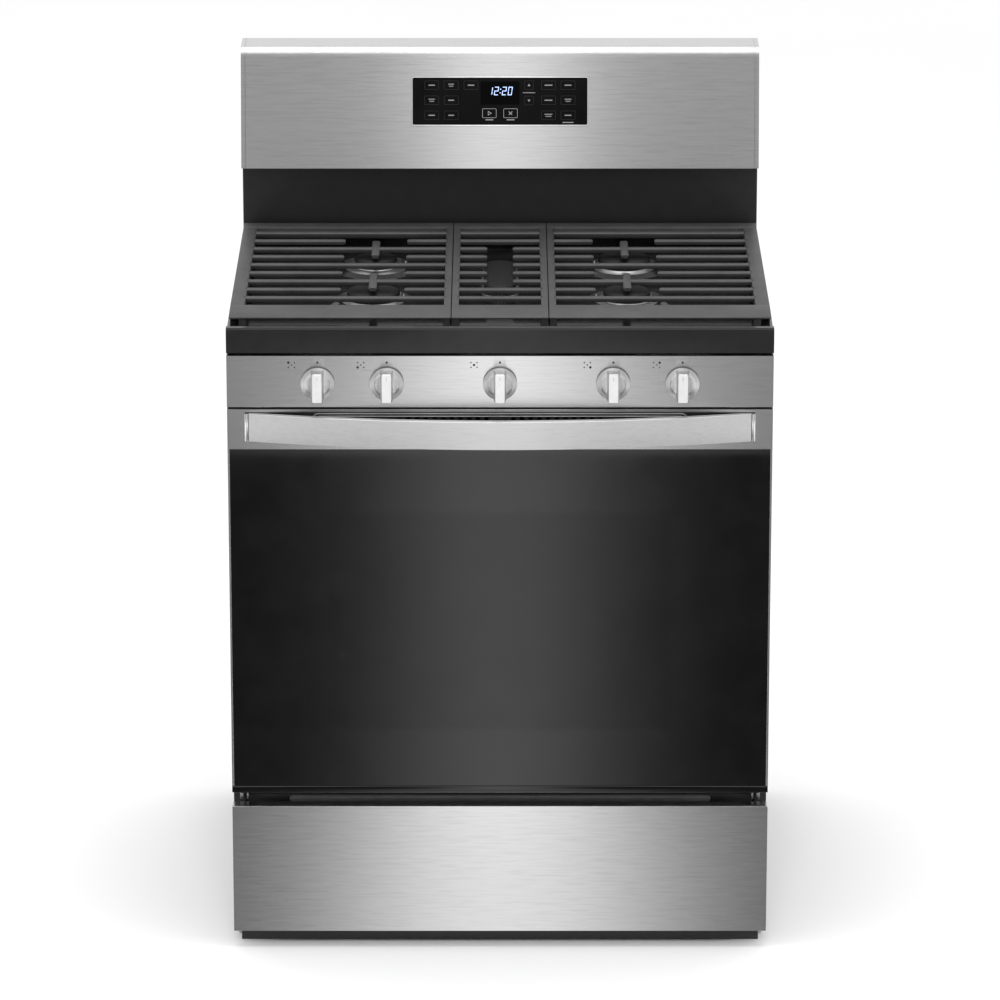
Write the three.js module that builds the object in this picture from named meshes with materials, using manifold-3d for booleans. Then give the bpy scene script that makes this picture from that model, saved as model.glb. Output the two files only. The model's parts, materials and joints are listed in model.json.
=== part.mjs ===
// A freestanding gas range: five sealed burners under three cast-iron grates, a five-knob
// control panel, a drop-down oven door, a storage drawer and a backguard with a touch display.
// Millimetres, +Z up. The origin is on the floor, under the middle of the bounding box.
// Inside the group every y is a depth behind the plane of the door and drawer fronts.

import * as THREE from 'three';
import { mergeVertices } from 'three/addons/utils/BufferGeometryUtils.js';
import Module from 'manifold-3d';

const wasm = await Module();
wasm.setup();

// Overall size.
const HALF_WIDTH = 379.5;
const HANDLE_REACH = 48;
const BACK = 657;
const TOP = 1186;
const GAP = 0.3;

// Floor to cooktop.
const BASE_BOTTOM = 22;
const BASE_TOP = 26;
const DRAWER_BOTTOM = 25;
const DRAWER_TOP = 214;
const DOOR_BOTTOM = 235;
const DOOR_TOP = 800;
const GLASS_TOP = 742;
const PANEL_BOTTOM = 803;
const PANEL_TOP = 877;
const COOKTOP_BOTTOM = 881;
const RIM_TOP = 916;
const GRATE_TOP = 925;
const RISER_TOP = 1011;

// Depths behind the front plane.
const DOOR_BACK = 42;
const FRAME_FRONT = 50;
const SIDE_BACK = 655;
const RISER_FRONT = 585;
const FASCIA_FOOT = 540;
const FASCIA_BACK = 650;

// Sheet metal and glass.
const SHEET = 1.5;
const GLASS = 4.2;

// Legs, drawer rails and the gas inlet.
const LEG_STEM_R = 6;
const LEG_TOP = BASE_TOP + 12;
const LEG_PLACES = [[-360, 66], [360, 66], [-360, 637], [360, 637]];
const LEG_NAMES = ['front_left', 'front_right', 'rear_left', 'rear_right'];
const RAIL_TOP = 82;
const INLET_X = 330;
const INLET_Z = 115;

// Oven cavity.
const CAVITY_HALF = 305;
const CAVITY_FLOOR = 273;
const CAVITY_ROOF = 737;
const CAVITY_BACK = 535;
const CAVITY_WALL = 1.5;
const RACK_PITCH = 36;
const RACK_LOWEST = 342;
const RACK_LEVELS = 7;
const RACK_HALF = 301;
const RACK_FRONT = 62;
const RACK_BACK = 440;

// Door.
const HINGE_Y = 15;
const HINGE_Z = 242;
const HINGE_PIN_R = 3;
const HINGE_X = 353;
const WINDOW_HALF = 240;
const WINDOW_BOTTOM = 330;
const WINDOW_TOP = 650;
const HANDLE_HALF = 355;
const HANDLE_BOTTOM = 755;
const HANDLE_TOP = 795;
const VENT_BOTTOM = 774;
const VENT_TOP = 795.5;
const VENT_HOLE_Z = 785.5;
const VENT_HOLE_R = 3.6;
const VENT_HOLE_PITCH = 12.06;

// Knobs and gas valves.
const KNOB_X = [-253, -157, 0, 157, 253];
const KNOB_Z = 838;
const STEM_R = 3.9;

// Cooktop basin.
const BASIN_HALF = 366;
const BASIN_FRONT = 20;
const BASIN_BACK = 564;
const BASIN_FLOOR = 893;
const SIDE_RIM = 908;

// Burners: the place and cap radius of the round ones, and the long one in the middle.
const BURNER_X = 180;
const BURNER_FRONT_Y = 228;
const BURNER_REAR_Y = 413;
const ROUND_BURNERS = {
  front_left: { x: -BURNER_X, y: BURNER_FRONT_Y, r: 37 },
  front_right: { x: BURNER_X, y: BURNER_FRONT_Y, r: 33 },
  rear_left: { x: -BURNER_X, y: BURNER_REAR_Y, r: 30 },
  rear_right: { x: BURNER_X, y: BURNER_REAR_Y, r: 37 },
};
const OVAL_Y = 320;
const OVAL_HALF_WIDTH = 23;
const OVAL_HALF_LENGTH = 76;
const HEAD_BOTTOM = 884;
const CAP_BASE = 905.5;

// Grates.
const GRATE_SPLIT = 68;
const GRATE_EDGE = 377;
const BAR_PITCH = 45.7;
const BAR_COUNT = 9;
const BAR_WIDTH = 12;
const BAR_BOTTOM = 918.5;
const FIRST_BAR_Y = 137.5;
const FRONT_RAIL_Y = 37;
const FRONT_RAIL_BACK = 94;
const BACK_RAIL_Y = 527;
const BACK_RAIL_BACK = 562;
const RAIL_BOTTOM = SIDE_RIM + 0.6;
const FOOT_SPANS = [[45, 57], [545, 557]];

// Fan.
const FAN_Z = 505;
const FAN_R = 80;
const FAN_COVER_R = 112;

// Backguard.
const ROLL_R = 18;
const FASCIA_BOTTOM = RISER_TOP + GAP;
const FASCIA_TILT = 10.8 * (Math.PI / 180);
const CAP_THICKNESS = 6;
const DISPLAY_HALF = 128;
const DISPLAY_SPAN = [64, 133];

// Edges shorter than this are merged away after a boolean, so no sliver triangle is left.
const CLEAN = 0.004;

// ---------------------------------------------------------------- materials

function finish(color, roughness, metalness) {
  return new THREE.MeshStandardMaterial({ color, roughness, metalness });
}

const steel = finish(0xb4b4b2, 0.35, 1);
const enamel = finish(0x141415, 0.3, 0);
const darkPaint = finish(0x2a2a2b, 0.55, 0.2);
const castIron = finish(0x3c3c3d, 0.7, 0.3);
const aluminium = finish(0xc6c7c8, 0.35, 1);
const zinc = finish(0x9a9b9c, 0.45, 0.9);
const brass = finish(0xb08d4a, 0.4, 1);
const blackGlass = finish(0x0c0c0d, 0.06, 0);
const blackPlastic = finish(0x121213, 0.5, 0);
const rubber = finish(0x3a3836, 0.85, 0);
const chrome = finish(0xd0d1d2, 0.15, 1);

// ------------------------------------------------------------------ helpers

function toSolid(geometry) {
  const bare = geometry.clone();
  bare.deleteAttribute('normal');
  bare.deleteAttribute('uv');
  const merged = mergeVertices(bare, 1e-4);
  const vertProperties = new Float32Array(merged.attributes.position.array);
  const triVerts = new Uint32Array(merged.index.array);
  return new wasm.Manifold(new wasm.Mesh({ numProp: 3, vertProperties, triVerts }));
}

function toGeometry(solid) {
  const mesh = solid.simplify(CLEAN).getMesh();
  const geometry = new THREE.BufferGeometry();
  geometry.setAttribute('position', new THREE.BufferAttribute(mesh.vertProperties, 3));
  geometry.setIndex(new THREE.BufferAttribute(mesh.triVerts, 1));
  geometry.computeVertexNormals();
  return geometry;
}

function join(...geometries) {
  return toGeometry(geometries.map(toSolid).reduce((whole, next) => whole.add(next)));
}

function cut(geometry, ...tools) {
  return toGeometry(tools.map(toSolid).reduce((rest, tool) => rest.subtract(tool), toSolid(geometry)));
}

function box([x0, x1], [y0, y1], [z0, z1]) {
  const geometry = new THREE.BoxGeometry(x1 - x0, y1 - y0, z1 - z0);
  return geometry.translate((x0 + x1) / 2, (y0 + y1) / 2, (z0 + z1) / 2);
}

// A span on one side of the middle: side is +1 for the right and -1 for the left.
function onSide(side, near, far) {
  return side > 0 ? [near, far] : [-far, -near];
}

function roundedRect([x0, x1], [y0, y1], r = 0) {
  const shape = new THREE.Shape();
  if (r === 0) {
    shape.moveTo(x0, y0);
    shape.lineTo(x1, y0);
    shape.lineTo(x1, y1);
    shape.lineTo(x0, y1);
    return shape;
  }
  shape.absarc(x1 - r, y0 + r, r, -Math.PI / 2, 0);
  shape.absarc(x1 - r, y1 - r, r, 0, Math.PI / 2);
  shape.absarc(x0 + r, y1 - r, r, Math.PI / 2, Math.PI);
  shape.absarc(x0 + r, y0 + r, r, Math.PI, Math.PI * 1.5);
  return shape;
}

// A round hole, as a path of even steps.
function circle(x, y, r, steps = 16) {
  const points = [];
  for (let i = 0; i < steps; i += 1) {
    const angle = (2 * Math.PI * i) / steps;
    points.push(new THREE.Vector2(x + r * Math.cos(angle), y + r * Math.sin(angle)));
  }
  return new THREE.Path(points);
}

function polygon(points) {
  return new THREE.Shape(points.map(([x, y]) => new THREE.Vector2(x, y)));
}

function extrude(shape, depth, curveSegments) {
  return new THREE.ExtrudeGeometry(shape, { depth, bevelEnabled: false, curveSegments });
}

// A plan outline (x, y) between two heights.
function risen(shape, [z0, z1], curveSegments = 6) {
  return extrude(shape, z1 - z0, curveSegments).translate(0, 0, z0);
}

// A front-view outline (x, z) between two depths.
function facing(shape, [y0, y1], curveSegments = 6) {
  const turn = new THREE.Matrix4().makeRotationX(Math.PI / 2);
  return extrude(shape, y1 - y0, curveSegments).applyMatrix4(turn).translate(0, y1, 0);
}

// A side-view outline (y, z) between two widths.
function sideways(shape, [x0, x1], curveSegments = 6) {
  const axes = [new THREE.Vector3(0, 1, 0), new THREE.Vector3(0, 0, 1), new THREE.Vector3(1, 0, 0)];
  const turn = new THREE.Matrix4().makeBasis(...axes);
  return extrude(shape, x1 - x0, curveSegments).applyMatrix4(turn).translate(x0, 0, 0);
}

// A profile of [radius, height] points, starting and ending on the axis, turned about +Z.
function turned(profile, segments = 20) {
  const points = profile.map(([r, h]) => new THREE.Vector2(r, h));
  return new THREE.LatheGeometry(points, segments).rotateX(Math.PI / 2);
}

// A round bar along +Y from y0 to y1 at (x, z).
function rodY(r, [y0, y1], x, z, segments = 12) {
  return new THREE.CylinderGeometry(r, r, y1 - y0, segments).translate(x, (y0 + y1) / 2, z);
}

function rodX(r, [x0, x1], y, z, segments = 12) {
  const rod = new THREE.CylinderGeometry(r, r, x1 - x0, segments).rotateZ(Math.PI / 2);
  return rod.translate((x0 + x1) / 2, y, z);
}

function rodZ(r, [z0, z1], x, y, segments = 16) {
  const rod = new THREE.CylinderGeometry(r, r, z1 - z0, segments).rotateX(Math.PI / 2);
  return rod.translate(x, y, (z0 + z1) / 2);
}

// A round tube along a list of points joined by a smooth curve.
function tube(points, r, steps, sides = 10) {
  const path = new THREE.CatmullRomCurve3(points.map((p) => new THREE.Vector3(...p)), false, 'centripetal');
  const section = new THREE.Shape(circle(0, 0, r, sides).getPoints(1));
  const options = { steps, extrudePath: path, bevelEnabled: false };
  return new THREE.ExtrudeGeometry(section, options);
}

const range = new THREE.Group();
range.position.y = (HANDLE_REACH - BACK) / 2;

function add(name, geometry, material) {
  const mesh = new THREE.Mesh(geometry, material);
  mesh.name = name;
  range.add(mesh);
  return mesh;
}

// ------------------------------------------------------------------ cabinet

function sidePanel(side) {
  const x = onSide(side, HALF_WIDTH - SHEET, HALF_WIDTH);
  const flange = onSide(side, HALF_WIDTH - 17, HALF_WIDTH);
  const z = [BASE_BOTTOM, COOKTOP_BOTTOM - GAP];
  return join(
    box(x, [FRAME_FRONT, SIDE_BACK], z),
    box(flange, [FRAME_FRONT, FRAME_FRONT + SHEET], z),
    box(flange, [SIDE_BACK - SHEET, SIDE_BACK], z),
  );
}

function rearPanel() {
  const slots = [];
  for (const x of [-250, 0, 250]) {
    for (let row = 0; row < 5; row += 1) {
      const z = 790 + row * 14;
      slots.push(box([x - 60, x + 60], [SIDE_BACK, BACK + 1], [z, z + 5]));
    }
  }
  const plate = box([-376, 376], [SIDE_BACK + GAP, BACK], [30, 905]);
  return cut(plate, ...slots, rodY(18, [SIDE_BACK, BACK + 1], INLET_X, INLET_Z));
}

function baseFrame() {
  const ring = roundedRect([-376.5, 376.5], [52, 653], 6);
  ring.holes.push(roundedRect([-343, 343], [80, 620]));
  const holes = LEG_PLACES.map(([x, y]) => rodZ(LEG_STEM_R + 0.8, [BASE_BOTTOM - 1, BASE_TOP + 1], x, y, 10));
  const rails = [-1, 1].map((side) => box(onSide(side, 344, 352), [60, 600], [BASE_TOP - 2, RAIL_TOP]));
  return join(cut(risen(ring, [BASE_BOTTOM, BASE_TOP]), ...holes), ...rails);
}

function levellingLeg() {
  return turned([
    [0, 0],
    [16, 0],
    [18, 2],
    [18, 6],
    [11, 10],
    [11, BASE_BOTTOM - GAP],
    [LEG_STEM_R, BASE_BOTTOM - GAP],
    [LEG_STEM_R, LEG_TOP],
    [0, LEG_TOP],
  ], 12);
}

add('side_panel_left', sidePanel(-1), darkPaint);
add('side_panel_right', sidePanel(1), darkPaint);
add('rear_panel', rearPanel(), zinc);
add('base_frame', baseFrame(), darkPaint);
LEG_PLACES.forEach(([x, y], i) => {
  add(`levelling_leg_${LEG_NAMES[i]}`, levellingLeg(), zinc).position.set(x, y, 0);
});

// --------------------------------------------------------------------- oven

function ovenCavity() {
  const outer = CAVITY_HALF + CAVITY_WALL;
  const front = FRAME_FRONT + 3 + GAP;
  const height = [CAVITY_FLOOR - CAVITY_WALL, CAVITY_ROOF + CAVITY_WALL];
  const shell = cut(
    box([-outer, outer], [front, CAVITY_BACK + CAVITY_WALL], height),
    box([-CAVITY_HALF, CAVITY_HALF], [front - 1, CAVITY_BACK], [CAVITY_FLOOR, CAVITY_ROOF]),
    rodY(7, [CAVITY_BACK - 1, CAVITY_BACK + 4], 0, FAN_Z, 16),
  );
  const ledges = [];
  for (const side of [-1, 1]) {
    ledges.push(box(onSide(side, 296, 306), [front, 530], [294, 297.7]));
    for (let level = 0; level < RACK_LEVELS; level += 1) {
      const top = RACK_LOWEST + level * RACK_PITCH;
      ledges.push(box(onSide(side, 297, 306), [60, 480], [top - 4, top - GAP]));
    }
  }
  return join(shell, ...ledges);
}

// The plate around the oven mouth, with the lower bead and the two hinge hangers.
function frontFrame() {
  const plate = roundedRect([-362, 362], [215, 799]);
  plate.holes.push(roundedRect([-CAVITY_HALF, CAVITY_HALF], [CAVITY_FLOOR, CAVITY_ROOF], 10));
  const bead = facing(roundedRect([-288, 288], [217, 230], 6), [FRAME_FRONT - 2.5, FRAME_FRONT + 1]);
  const nose = 5.5;
  const side = new THREE.Shape();
  side.moveTo(FRAME_FRONT + 2, HINGE_Z - nose);
  side.lineTo(FRAME_FRONT + 2, HINGE_Z + nose);
  side.lineTo(HINGE_Y, HINGE_Z + nose);
  side.absarc(HINGE_Y, HINGE_Z, nose, Math.PI / 2, Math.PI * 1.5);
  side.holes.push(circle(HINGE_Y, HINGE_Z, HINGE_PIN_R + 0.3, 12));
  const hangers = [-1, 1].map((s) => sideways(side, onSide(s, HINGE_X - 3, HINGE_X + 3), 4));
  return join(facing(plate, [FRAME_FRONT, FRAME_FRONT + 3], 4), bead, ...hangers);
}

function doorGasket() {
  const ring = roundedRect([-CAVITY_HALF - 13, CAVITY_HALF + 13], [CAVITY_FLOOR - 11, CAVITY_ROOF + 13], 18);
  ring.holes.push(roundedRect([-CAVITY_HALF - 4, CAVITY_HALF + 4], [CAVITY_FLOOR - 3, CAVITY_ROOF + 4], 12));
  return facing(ring, [DOOR_BACK + 0.4, FRAME_FRONT - GAP], 3);
}

function ovenFloor() {
  const slots = [];
  for (const side of [-1, 1]) {
    for (let i = 0; i < 5; i += 1) {
      slots.push(box(onSide(side, 262, 286), [90 + i * 88, 94 + i * 88], [297, 300]));
    }
  }
  return cut(box([-302, 302], [56, 530], [298, 299.5]), ...slots);
}

// A burner tube shaped as a hairpin, its two ends at the back wall.
function broilBurner() {
  const z = 712;
  const back = CAVITY_BACK - GAP;
  const left = [[-90, back, z], [-90, 300, z], [-90, 140, z], [-70, 90, z], [0, 76, z]];
  const right = left.slice(0, 4).reverse().map(([x, y]) => [-x, y, z]);
  return tube([...left, ...right], 8, 20, 8);
}

function rack() {
  const rim = roundedRect([-RACK_HALF, RACK_HALF], [RACK_FRONT, RACK_BACK], 12);
  rim.holes.push(roundedRect([-RACK_HALF + 6, RACK_HALF - 6], [RACK_FRONT + 6, RACK_BACK - 6], 6));
  const wires = [box([-292, 292], [248, 254], [-2.5, 2.5])];
  const count = 11;
  for (let i = 1; i <= count; i += 1) {
    const x = RACK_HALF * ((2 * i) / (count + 1) - 1);
    wires.push(box([x - 2.5, x + 2.5], [RACK_FRONT + 2, RACK_BACK - 2], [1.5, 6.5]));
  }
  return join(risen(rim, [0, 5], 4), ...wires);
}

// A shallow pan over the fan, open towards the back wall.
function fanCover() {
  const front = CAVITY_BACK - 48;
  const pan = cut(
    rodY(FAN_COVER_R, [front, CAVITY_BACK - GAP], 0, FAN_Z, 28),
    rodY(FAN_COVER_R - 2, [front + SHEET, CAVITY_BACK], 0, FAN_Z, 28),
  );
  const slots = [];
  for (let i = 0; i < 12; i += 1) {
    const slot = box([-3, 3], [front - 1, front + 3], [30, 82]);
    slots.push(slot.rotateY((i * Math.PI) / 6).translate(0, 0, FAN_Z));
  }
  return cut(pan, ...slots);
}

function convectionFan() {
  const blades = [];
  for (let i = 0; i < 8; i += 1) {
    const blade = box([-1, 1], [506, 528], [12, FAN_R]);
    blades.push(blade.rotateY((i * Math.PI) / 4).translate(0, 0, FAN_Z));
  }
  const disc = rodY(FAN_R, [526.5, 528], 0, FAN_Z, 24);
  const hub = rodY(14, [502, 530], 0, FAN_Z);
  const shaft = rodY(5, [520, 566], 0, FAN_Z, 8);
  return join(disc, hub, shaft, ...blades);
}

add('oven_cavity', ovenCavity(), enamel);
add('front_frame', frontFrame(), enamel);
add('door_gasket', doorGasket(), rubber);
add('oven_floor', ovenFloor(), enamel);
add('bake_burner', rodY(9, [70, CAVITY_BACK - GAP], 0, 284), zinc);
add('broil_burner', broilBurner(), zinc);
add('rack_lower', rack(), chrome).position.z = RACK_LOWEST + RACK_PITCH;
add('rack_upper', rack(), chrome).position.z = RACK_LOWEST + 3 * RACK_PITCH;
add('fan_cover', fanCover(), enamel);
add('convection_fan', convectionFan(), aluminium);

// --------------------------------------------------------------------- door

// The steel surround of the glass, with the deep band behind the handle.
function doorFrame() {
  const outline = roundedRect([-HALF_WIDTH, HALF_WIDTH], [DOOR_BOTTOM, DOOR_TOP]);
  outline.holes.push(roundedRect([-HALF_WIDTH + 3, HALF_WIDTH - 3], [DOOR_BOTTOM + 3, GLASS_TOP]));
  const notches = [-1, 1].map((s) => box(onSide(s, HINGE_X - 6.5, HINGE_X + 6.5), [5.3, 39], [234, 239]));
  return cut(
    facing(outline, [0, DOOR_BACK - 4]),
    box([-372, 372], [2, DOOR_BACK], [GLASS_TOP + 3, DOOR_TOP - 3]),
    box([-354.3, 354.3], [-1, 3], [VENT_BOTTOM - GAP, VENT_TOP + GAP]),
    ...notches,
  );
}

function doorVentTrim() {
  const plate = roundedRect([-354, 354], [VENT_BOTTOM, VENT_TOP], 3);
  const holes = ventHoles().map((x) => rodY(VENT_HOLE_R, [0, 5], x, VENT_HOLE_Z, 6));
  return cut(facing(plate, [0.8, 4], 4), ...holes);
}

// Eleven holes each side of the middle and five more near each end.
function ventHoles() {
  const places = [];
  for (let i = 0; i < 11; i += 1) {
    places.push(18.6 + i * VENT_HOLE_PITCH);
  }
  for (let i = 0; i < 5; i += 1) {
    places.push(186.6 + i * VENT_HOLE_PITCH);
  }
  return places.flatMap((x) => [-x, x]);
}

function doorLiner() {
  const outline = roundedRect([-372, 372], [241, 795], 8);
  outline.holes.push(roundedRect([-WINDOW_HALF, WINDOW_HALF], [WINDOW_BOTTOM, WINDOW_TOP], 12));
  const y = [DOOR_BACK - 4 + GAP, DOOR_BACK];
  const notches = [-1, 1].map((s) => box(onSide(s, HINGE_X - 6.5, HINGE_X + 6.5), [30, 50], [239, 252]));
  return cut(facing(outline, y, 4), ...notches);
}

// Two ears with the hinge pin between them, joined by a plate against the liner.
function doorHinge(side) {
  const back = DOOR_BACK - 4;
  const ear = polygon([[9.5, 239], [back, 239], [back, 300], [28, 300], [9.5, 256]]);
  return join(
    sideways(ear, onSide(side, HINGE_X - 12, HINGE_X - 7.5)),
    sideways(ear, onSide(side, HINGE_X + 7.5, HINGE_X + 12)),
    box(onSide(side, HINGE_X - 12, HINGE_X + 12), [back - 3, back], [262, 300]),
    rodX(HINGE_PIN_R, onSide(side, HINGE_X - 12, HINGE_X + 12), HINGE_Y, HINGE_Z),
  );
}

// A flat bar bowed in plan, whose thick ends meet the door.
function handleBar() {
  const front = bow(HANDLE_HALF, -5, -HANDLE_REACH);
  const back = bow(HANDLE_HALF - 18, -GAP, -HANDLE_REACH + 11);
  const shape = polygon([[-HANDLE_HALF, -GAP], ...front, [HANDLE_HALF, -GAP], ...back.reverse()]);
  return risen(shape, [HANDLE_BOTTOM, HANDLE_TOP]);
}

// Points of a shallow arc from (-half, end) through (0, middle) to (half, end).
function bow(half, end, middle, steps = 32) {
  const rise = end - middle;
  const radius = (half * half + rise * rise) / (2 * rise);
  const spread = Math.asin(half / radius);
  const points = [];
  for (let i = 0; i <= steps; i += 1) {
    const angle = spread * ((2 * i) / steps - 1);
    points.push([radius * Math.sin(angle), middle + radius * (1 - Math.cos(angle))]);
  }
  return points;
}

const glassPane = roundedRect([-376.2, 376.2], [DOOR_BOTTOM + 3 + GAP, GLASS_TOP - GAP]);
const innerHalf = WINDOW_HALF - GAP;
const innerPane = roundedRect([-innerHalf, innerHalf], [WINDOW_BOTTOM + GAP, WINDOW_TOP - GAP], 12);

add('door_frame', doorFrame(), steel);
add('door_glass', facing(glassPane, [0.8, 0.8 + GLASS]), blackGlass);
add('door_vent_trim', doorVentTrim(), blackPlastic);
add('door_liner', doorLiner(), enamel);
add('door_inner_glass', facing(innerPane, [DOOR_BACK - 3.5, DOOR_BACK - 0.5], 4), blackGlass);
add('door_hinge_left', doorHinge(-1), zinc);
add('door_hinge_right', doorHinge(1), zinc);
add('handle_bar', handleBar(), steel);

// ------------------------------------------------------------------- drawer

function drawerFront() {
  return cut(
    box([-HALF_WIDTH, HALF_WIDTH], [0, 20], [DRAWER_BOTTOM, DRAWER_TOP]),
    box([-HALF_WIDTH + 2, HALF_WIDTH - 2], [2, 21], [DRAWER_BOTTOM + 2, DRAWER_TOP - 2]),
  );
}

// The tray, with a flange each side that runs over the rail.
function drawerBox() {
  const half = 338;
  const tray = cut(
    box([-half, half], [20 + GAP, 560], [46, 190]),
    box([-half + SHEET, half - SHEET], [20 + GAP + SHEET, 560 - SHEET], [46 + SHEET, 191]),
  );
  const flange = [RAIL_TOP + 0.6, RAIL_TOP + 2.6];
  return join(tray, ...[-1, 1].map((s) => box(onSide(s, half - 1, 353), [40, 560], flange)));
}

add('drawer_front', drawerFront(), steel);
add('drawer_box', drawerBox(), darkPaint);

// ------------------------------------------------------------ control panel

function controlPanel() {
  const face = box([-HALF_WIDTH, HALF_WIDTH], [0, FRAME_FRONT - GAP], [PANEL_BOTTOM, PANEL_TOP]);
  const inside = [[2, FRAME_FRONT], [PANEL_BOTTOM + 2, PANEL_TOP - 2]];
  const holes = KNOB_X.map((x) => rodY(6, [-1, 3], x, KNOB_Z));
  return cut(face, box([-HALF_WIDTH + 2, HALF_WIDTH - 2], ...inside), ...holes);
}

// The manifold pipe with its five valve bodies, and the supply line down to the inlet.
function gasManifold() {
  const y = 58;
  const bodies = KNOB_X.map((x) => rodY(13, [20, y], x, KNOB_Z));
  const pipe = rodX(9, [-300, 332], y, KNOB_Z);
  const line = [[325, y, KNOB_Z], [345, 64, KNOB_Z], [345, 110, KNOB_Z], [345, 560, KNOB_Z]];
  line.push([345, 596, 815], [342, 600, 700], [332, 600, 200], [330, 600, 142]);
  const bores = KNOB_X.map((x) => rodY(STEM_R + 0.5, [19, 36], x, KNOB_Z));
  return cut(join(pipe, ...bodies, tube(line, 5, 30, 6)), ...bores);
}

function gasInlet() {
  return join(
    rodZ(28, [INLET_Z - 19, INLET_Z + 15], INLET_X, 600),
    rodZ(12, [INLET_Z + 10, INLET_Z + 26], INLET_X, 600, 16),
    rodY(12, [610, 656], INLET_X, INLET_Z),
  );
}

function knob() {
  const half = 20.5;
  const blade = polygon([[-9.5, -6], [9.5, -6], [6.8, -30], [-6.8, -30]]);
  const grip = risen(blade, [KNOB_Z - half, KNOB_Z + half]);
  const skirt = rodY(23.5, [-7, -4], 0, KNOB_Z, 28);
  const collar = rodY(17, [-12, -6], 0, KNOB_Z, 16);
  return cut(join(grip, skirt, collar), rodY(STEM_R + 0.3, [-24, -3], 0, KNOB_Z));
}

add('control_panel', controlPanel(), steel);
add('gas_manifold', gasManifold(), zinc);
add('gas_inlet', gasInlet(), zinc);
KNOB_X.forEach((x, i) => {
  add(`valve_stem_${i + 1}`, rodY(STEM_R, [-22, 30], 0, KNOB_Z), brass).position.x = x;
  add(`knob_${i + 1}`, knob(), steel).position.x = x;
});

// ------------------------------------------------------- cooktop and burners

// The long burner's outline in plan, grown outwards by so much.
function ovalPlan(grow) {
  const half = OVAL_HALF_WIDTH + grow;
  const end = OVAL_HALF_LENGTH - OVAL_HALF_WIDTH;
  const shape = new THREE.Shape();
  shape.absarc(0, OVAL_Y + end, half, 0, Math.PI);
  shape.absarc(0, OVAL_Y - end, half, Math.PI, Math.PI * 2);
  return shape;
}

// A hollow pan with a rounded front lip, a recessed basin and a raised ring round each burner.
function cooktop() {
  const rim = polygon([
    [0, COOKTOP_BOTTOM],
    [0, RIM_TOP - 6],
    [1.8, RIM_TOP - 1.8],
    [6, RIM_TOP],
    [14, RIM_TOP],
    [20, SIDE_RIM],
    [RISER_FRONT - GAP, SIDE_RIM],
    [RISER_FRONT - GAP, COOKTOP_BOTTOM],
  ]);
  const inner = HALF_WIDTH - 2;
  const holes = Object.values(ROUND_BURNERS).map(({ x, y }) => rodZ(31, [880, 900], x, y));
  const collars = Object.values(ROUND_BURNERS).map(({ x, y }) => collar().translate(x, y, 0));
  const pan = cut(
    sideways(rim, [-HALF_WIDTH, HALF_WIDTH]),
    risen(roundedRect([-BASIN_HALF, BASIN_HALF], [BASIN_FRONT, BASIN_BACK], 12), [BASIN_FLOOR, 940]),
    box([-inner, inner], [2, RISER_FRONT - 2.5], [880, BASIN_FLOOR - 2]),
    box([-inner, inner], [2, BASIN_FRONT - 2], [880, SIDE_RIM - 2]),
    risen(ovalPlan(-3), [880, 900]),
    ...holes,
  );
  return join(pan, ...collars);
}

// The low ring pressed up round each burner, which keeps spills out.
function collar() {
  return turned([[48, 892], [65, 892], [54, 898], [48, 892]], 24);
}

// A die-cast body: a neck through the cooktop, a flange resting on it and the crown under the cap.
function burnerHead(r) {
  const under = CAP_BASE - GAP;
  const foot = BASIN_FLOOR + GAP;
  return turned([
    [0, HEAD_BOTTOM],
    [29, HEAD_BOTTOM],
    [29, foot],
    [45, foot],
    [45, foot + 3],
    [r + 3, foot + 5],
    [r + 1, under],
    [0, under],
  ]);
}

function burnerCap(r) {
  const profile = [[0, 0], [r, 0], [r + 1, 1.5], [r, 4], [r - 6, 6], [0, 6.5]];
  return turned(profile.map(([radius, height]) => [radius, CAP_BASE + height]));
}

add('cooktop', cooktop(), enamel);
for (const [name, { x, y, r }] of Object.entries(ROUND_BURNERS)) {
  add(`burner_head_${name}`, burnerHead(r), aluminium).position.set(x, y, 0);
  add(`burner_cap_${name}`, burnerCap(r), castIron).position.set(x, y, 0);
}
const ovalHead = join(
  risen(ovalPlan(-4), [HEAD_BOTTOM, CAP_BASE - GAP]),
  risen(ovalPlan(4), [BASIN_FLOOR + GAP, BASIN_FLOOR + 4]),
);
add('burner_head_centre', ovalHead, aluminium);
add('burner_cap_centre', risen(ovalPlan(0), [CAP_BASE, CAP_BASE + 6]), castIron);

// ------------------------------------------------------------------- grates

// The front rail is a wide lip that the cooktop's rim can be seen under, with a deep web behind.
const FRONT_RAIL = polygon([
  [FRONT_RAIL_Y + 1, 919.4],
  [FRONT_RAIL_Y, 920.4],
  [FRONT_RAIL_Y, 922],
  [FRONT_RAIL_Y + 3, 923.6],
  [90, GRATE_TOP],
  [FRONT_RAIL_BACK, GRATE_TOP],
  [FRONT_RAIL_BACK, RAIL_BOTTOM],
  [82, RAIL_BOTTOM],
  [72, 918],
]);
const BACK_RAIL = polygon([
  [BACK_RAIL_Y, RAIL_BOTTOM],
  [BACK_RAIL_Y, GRATE_TOP],
  [BACK_RAIL_BACK - 6, GRATE_TOP],
  [BACK_RAIL_BACK, GRATE_TOP - 5],
  [BACK_RAIL_BACK, RAIL_BOTTOM],
]);

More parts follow.
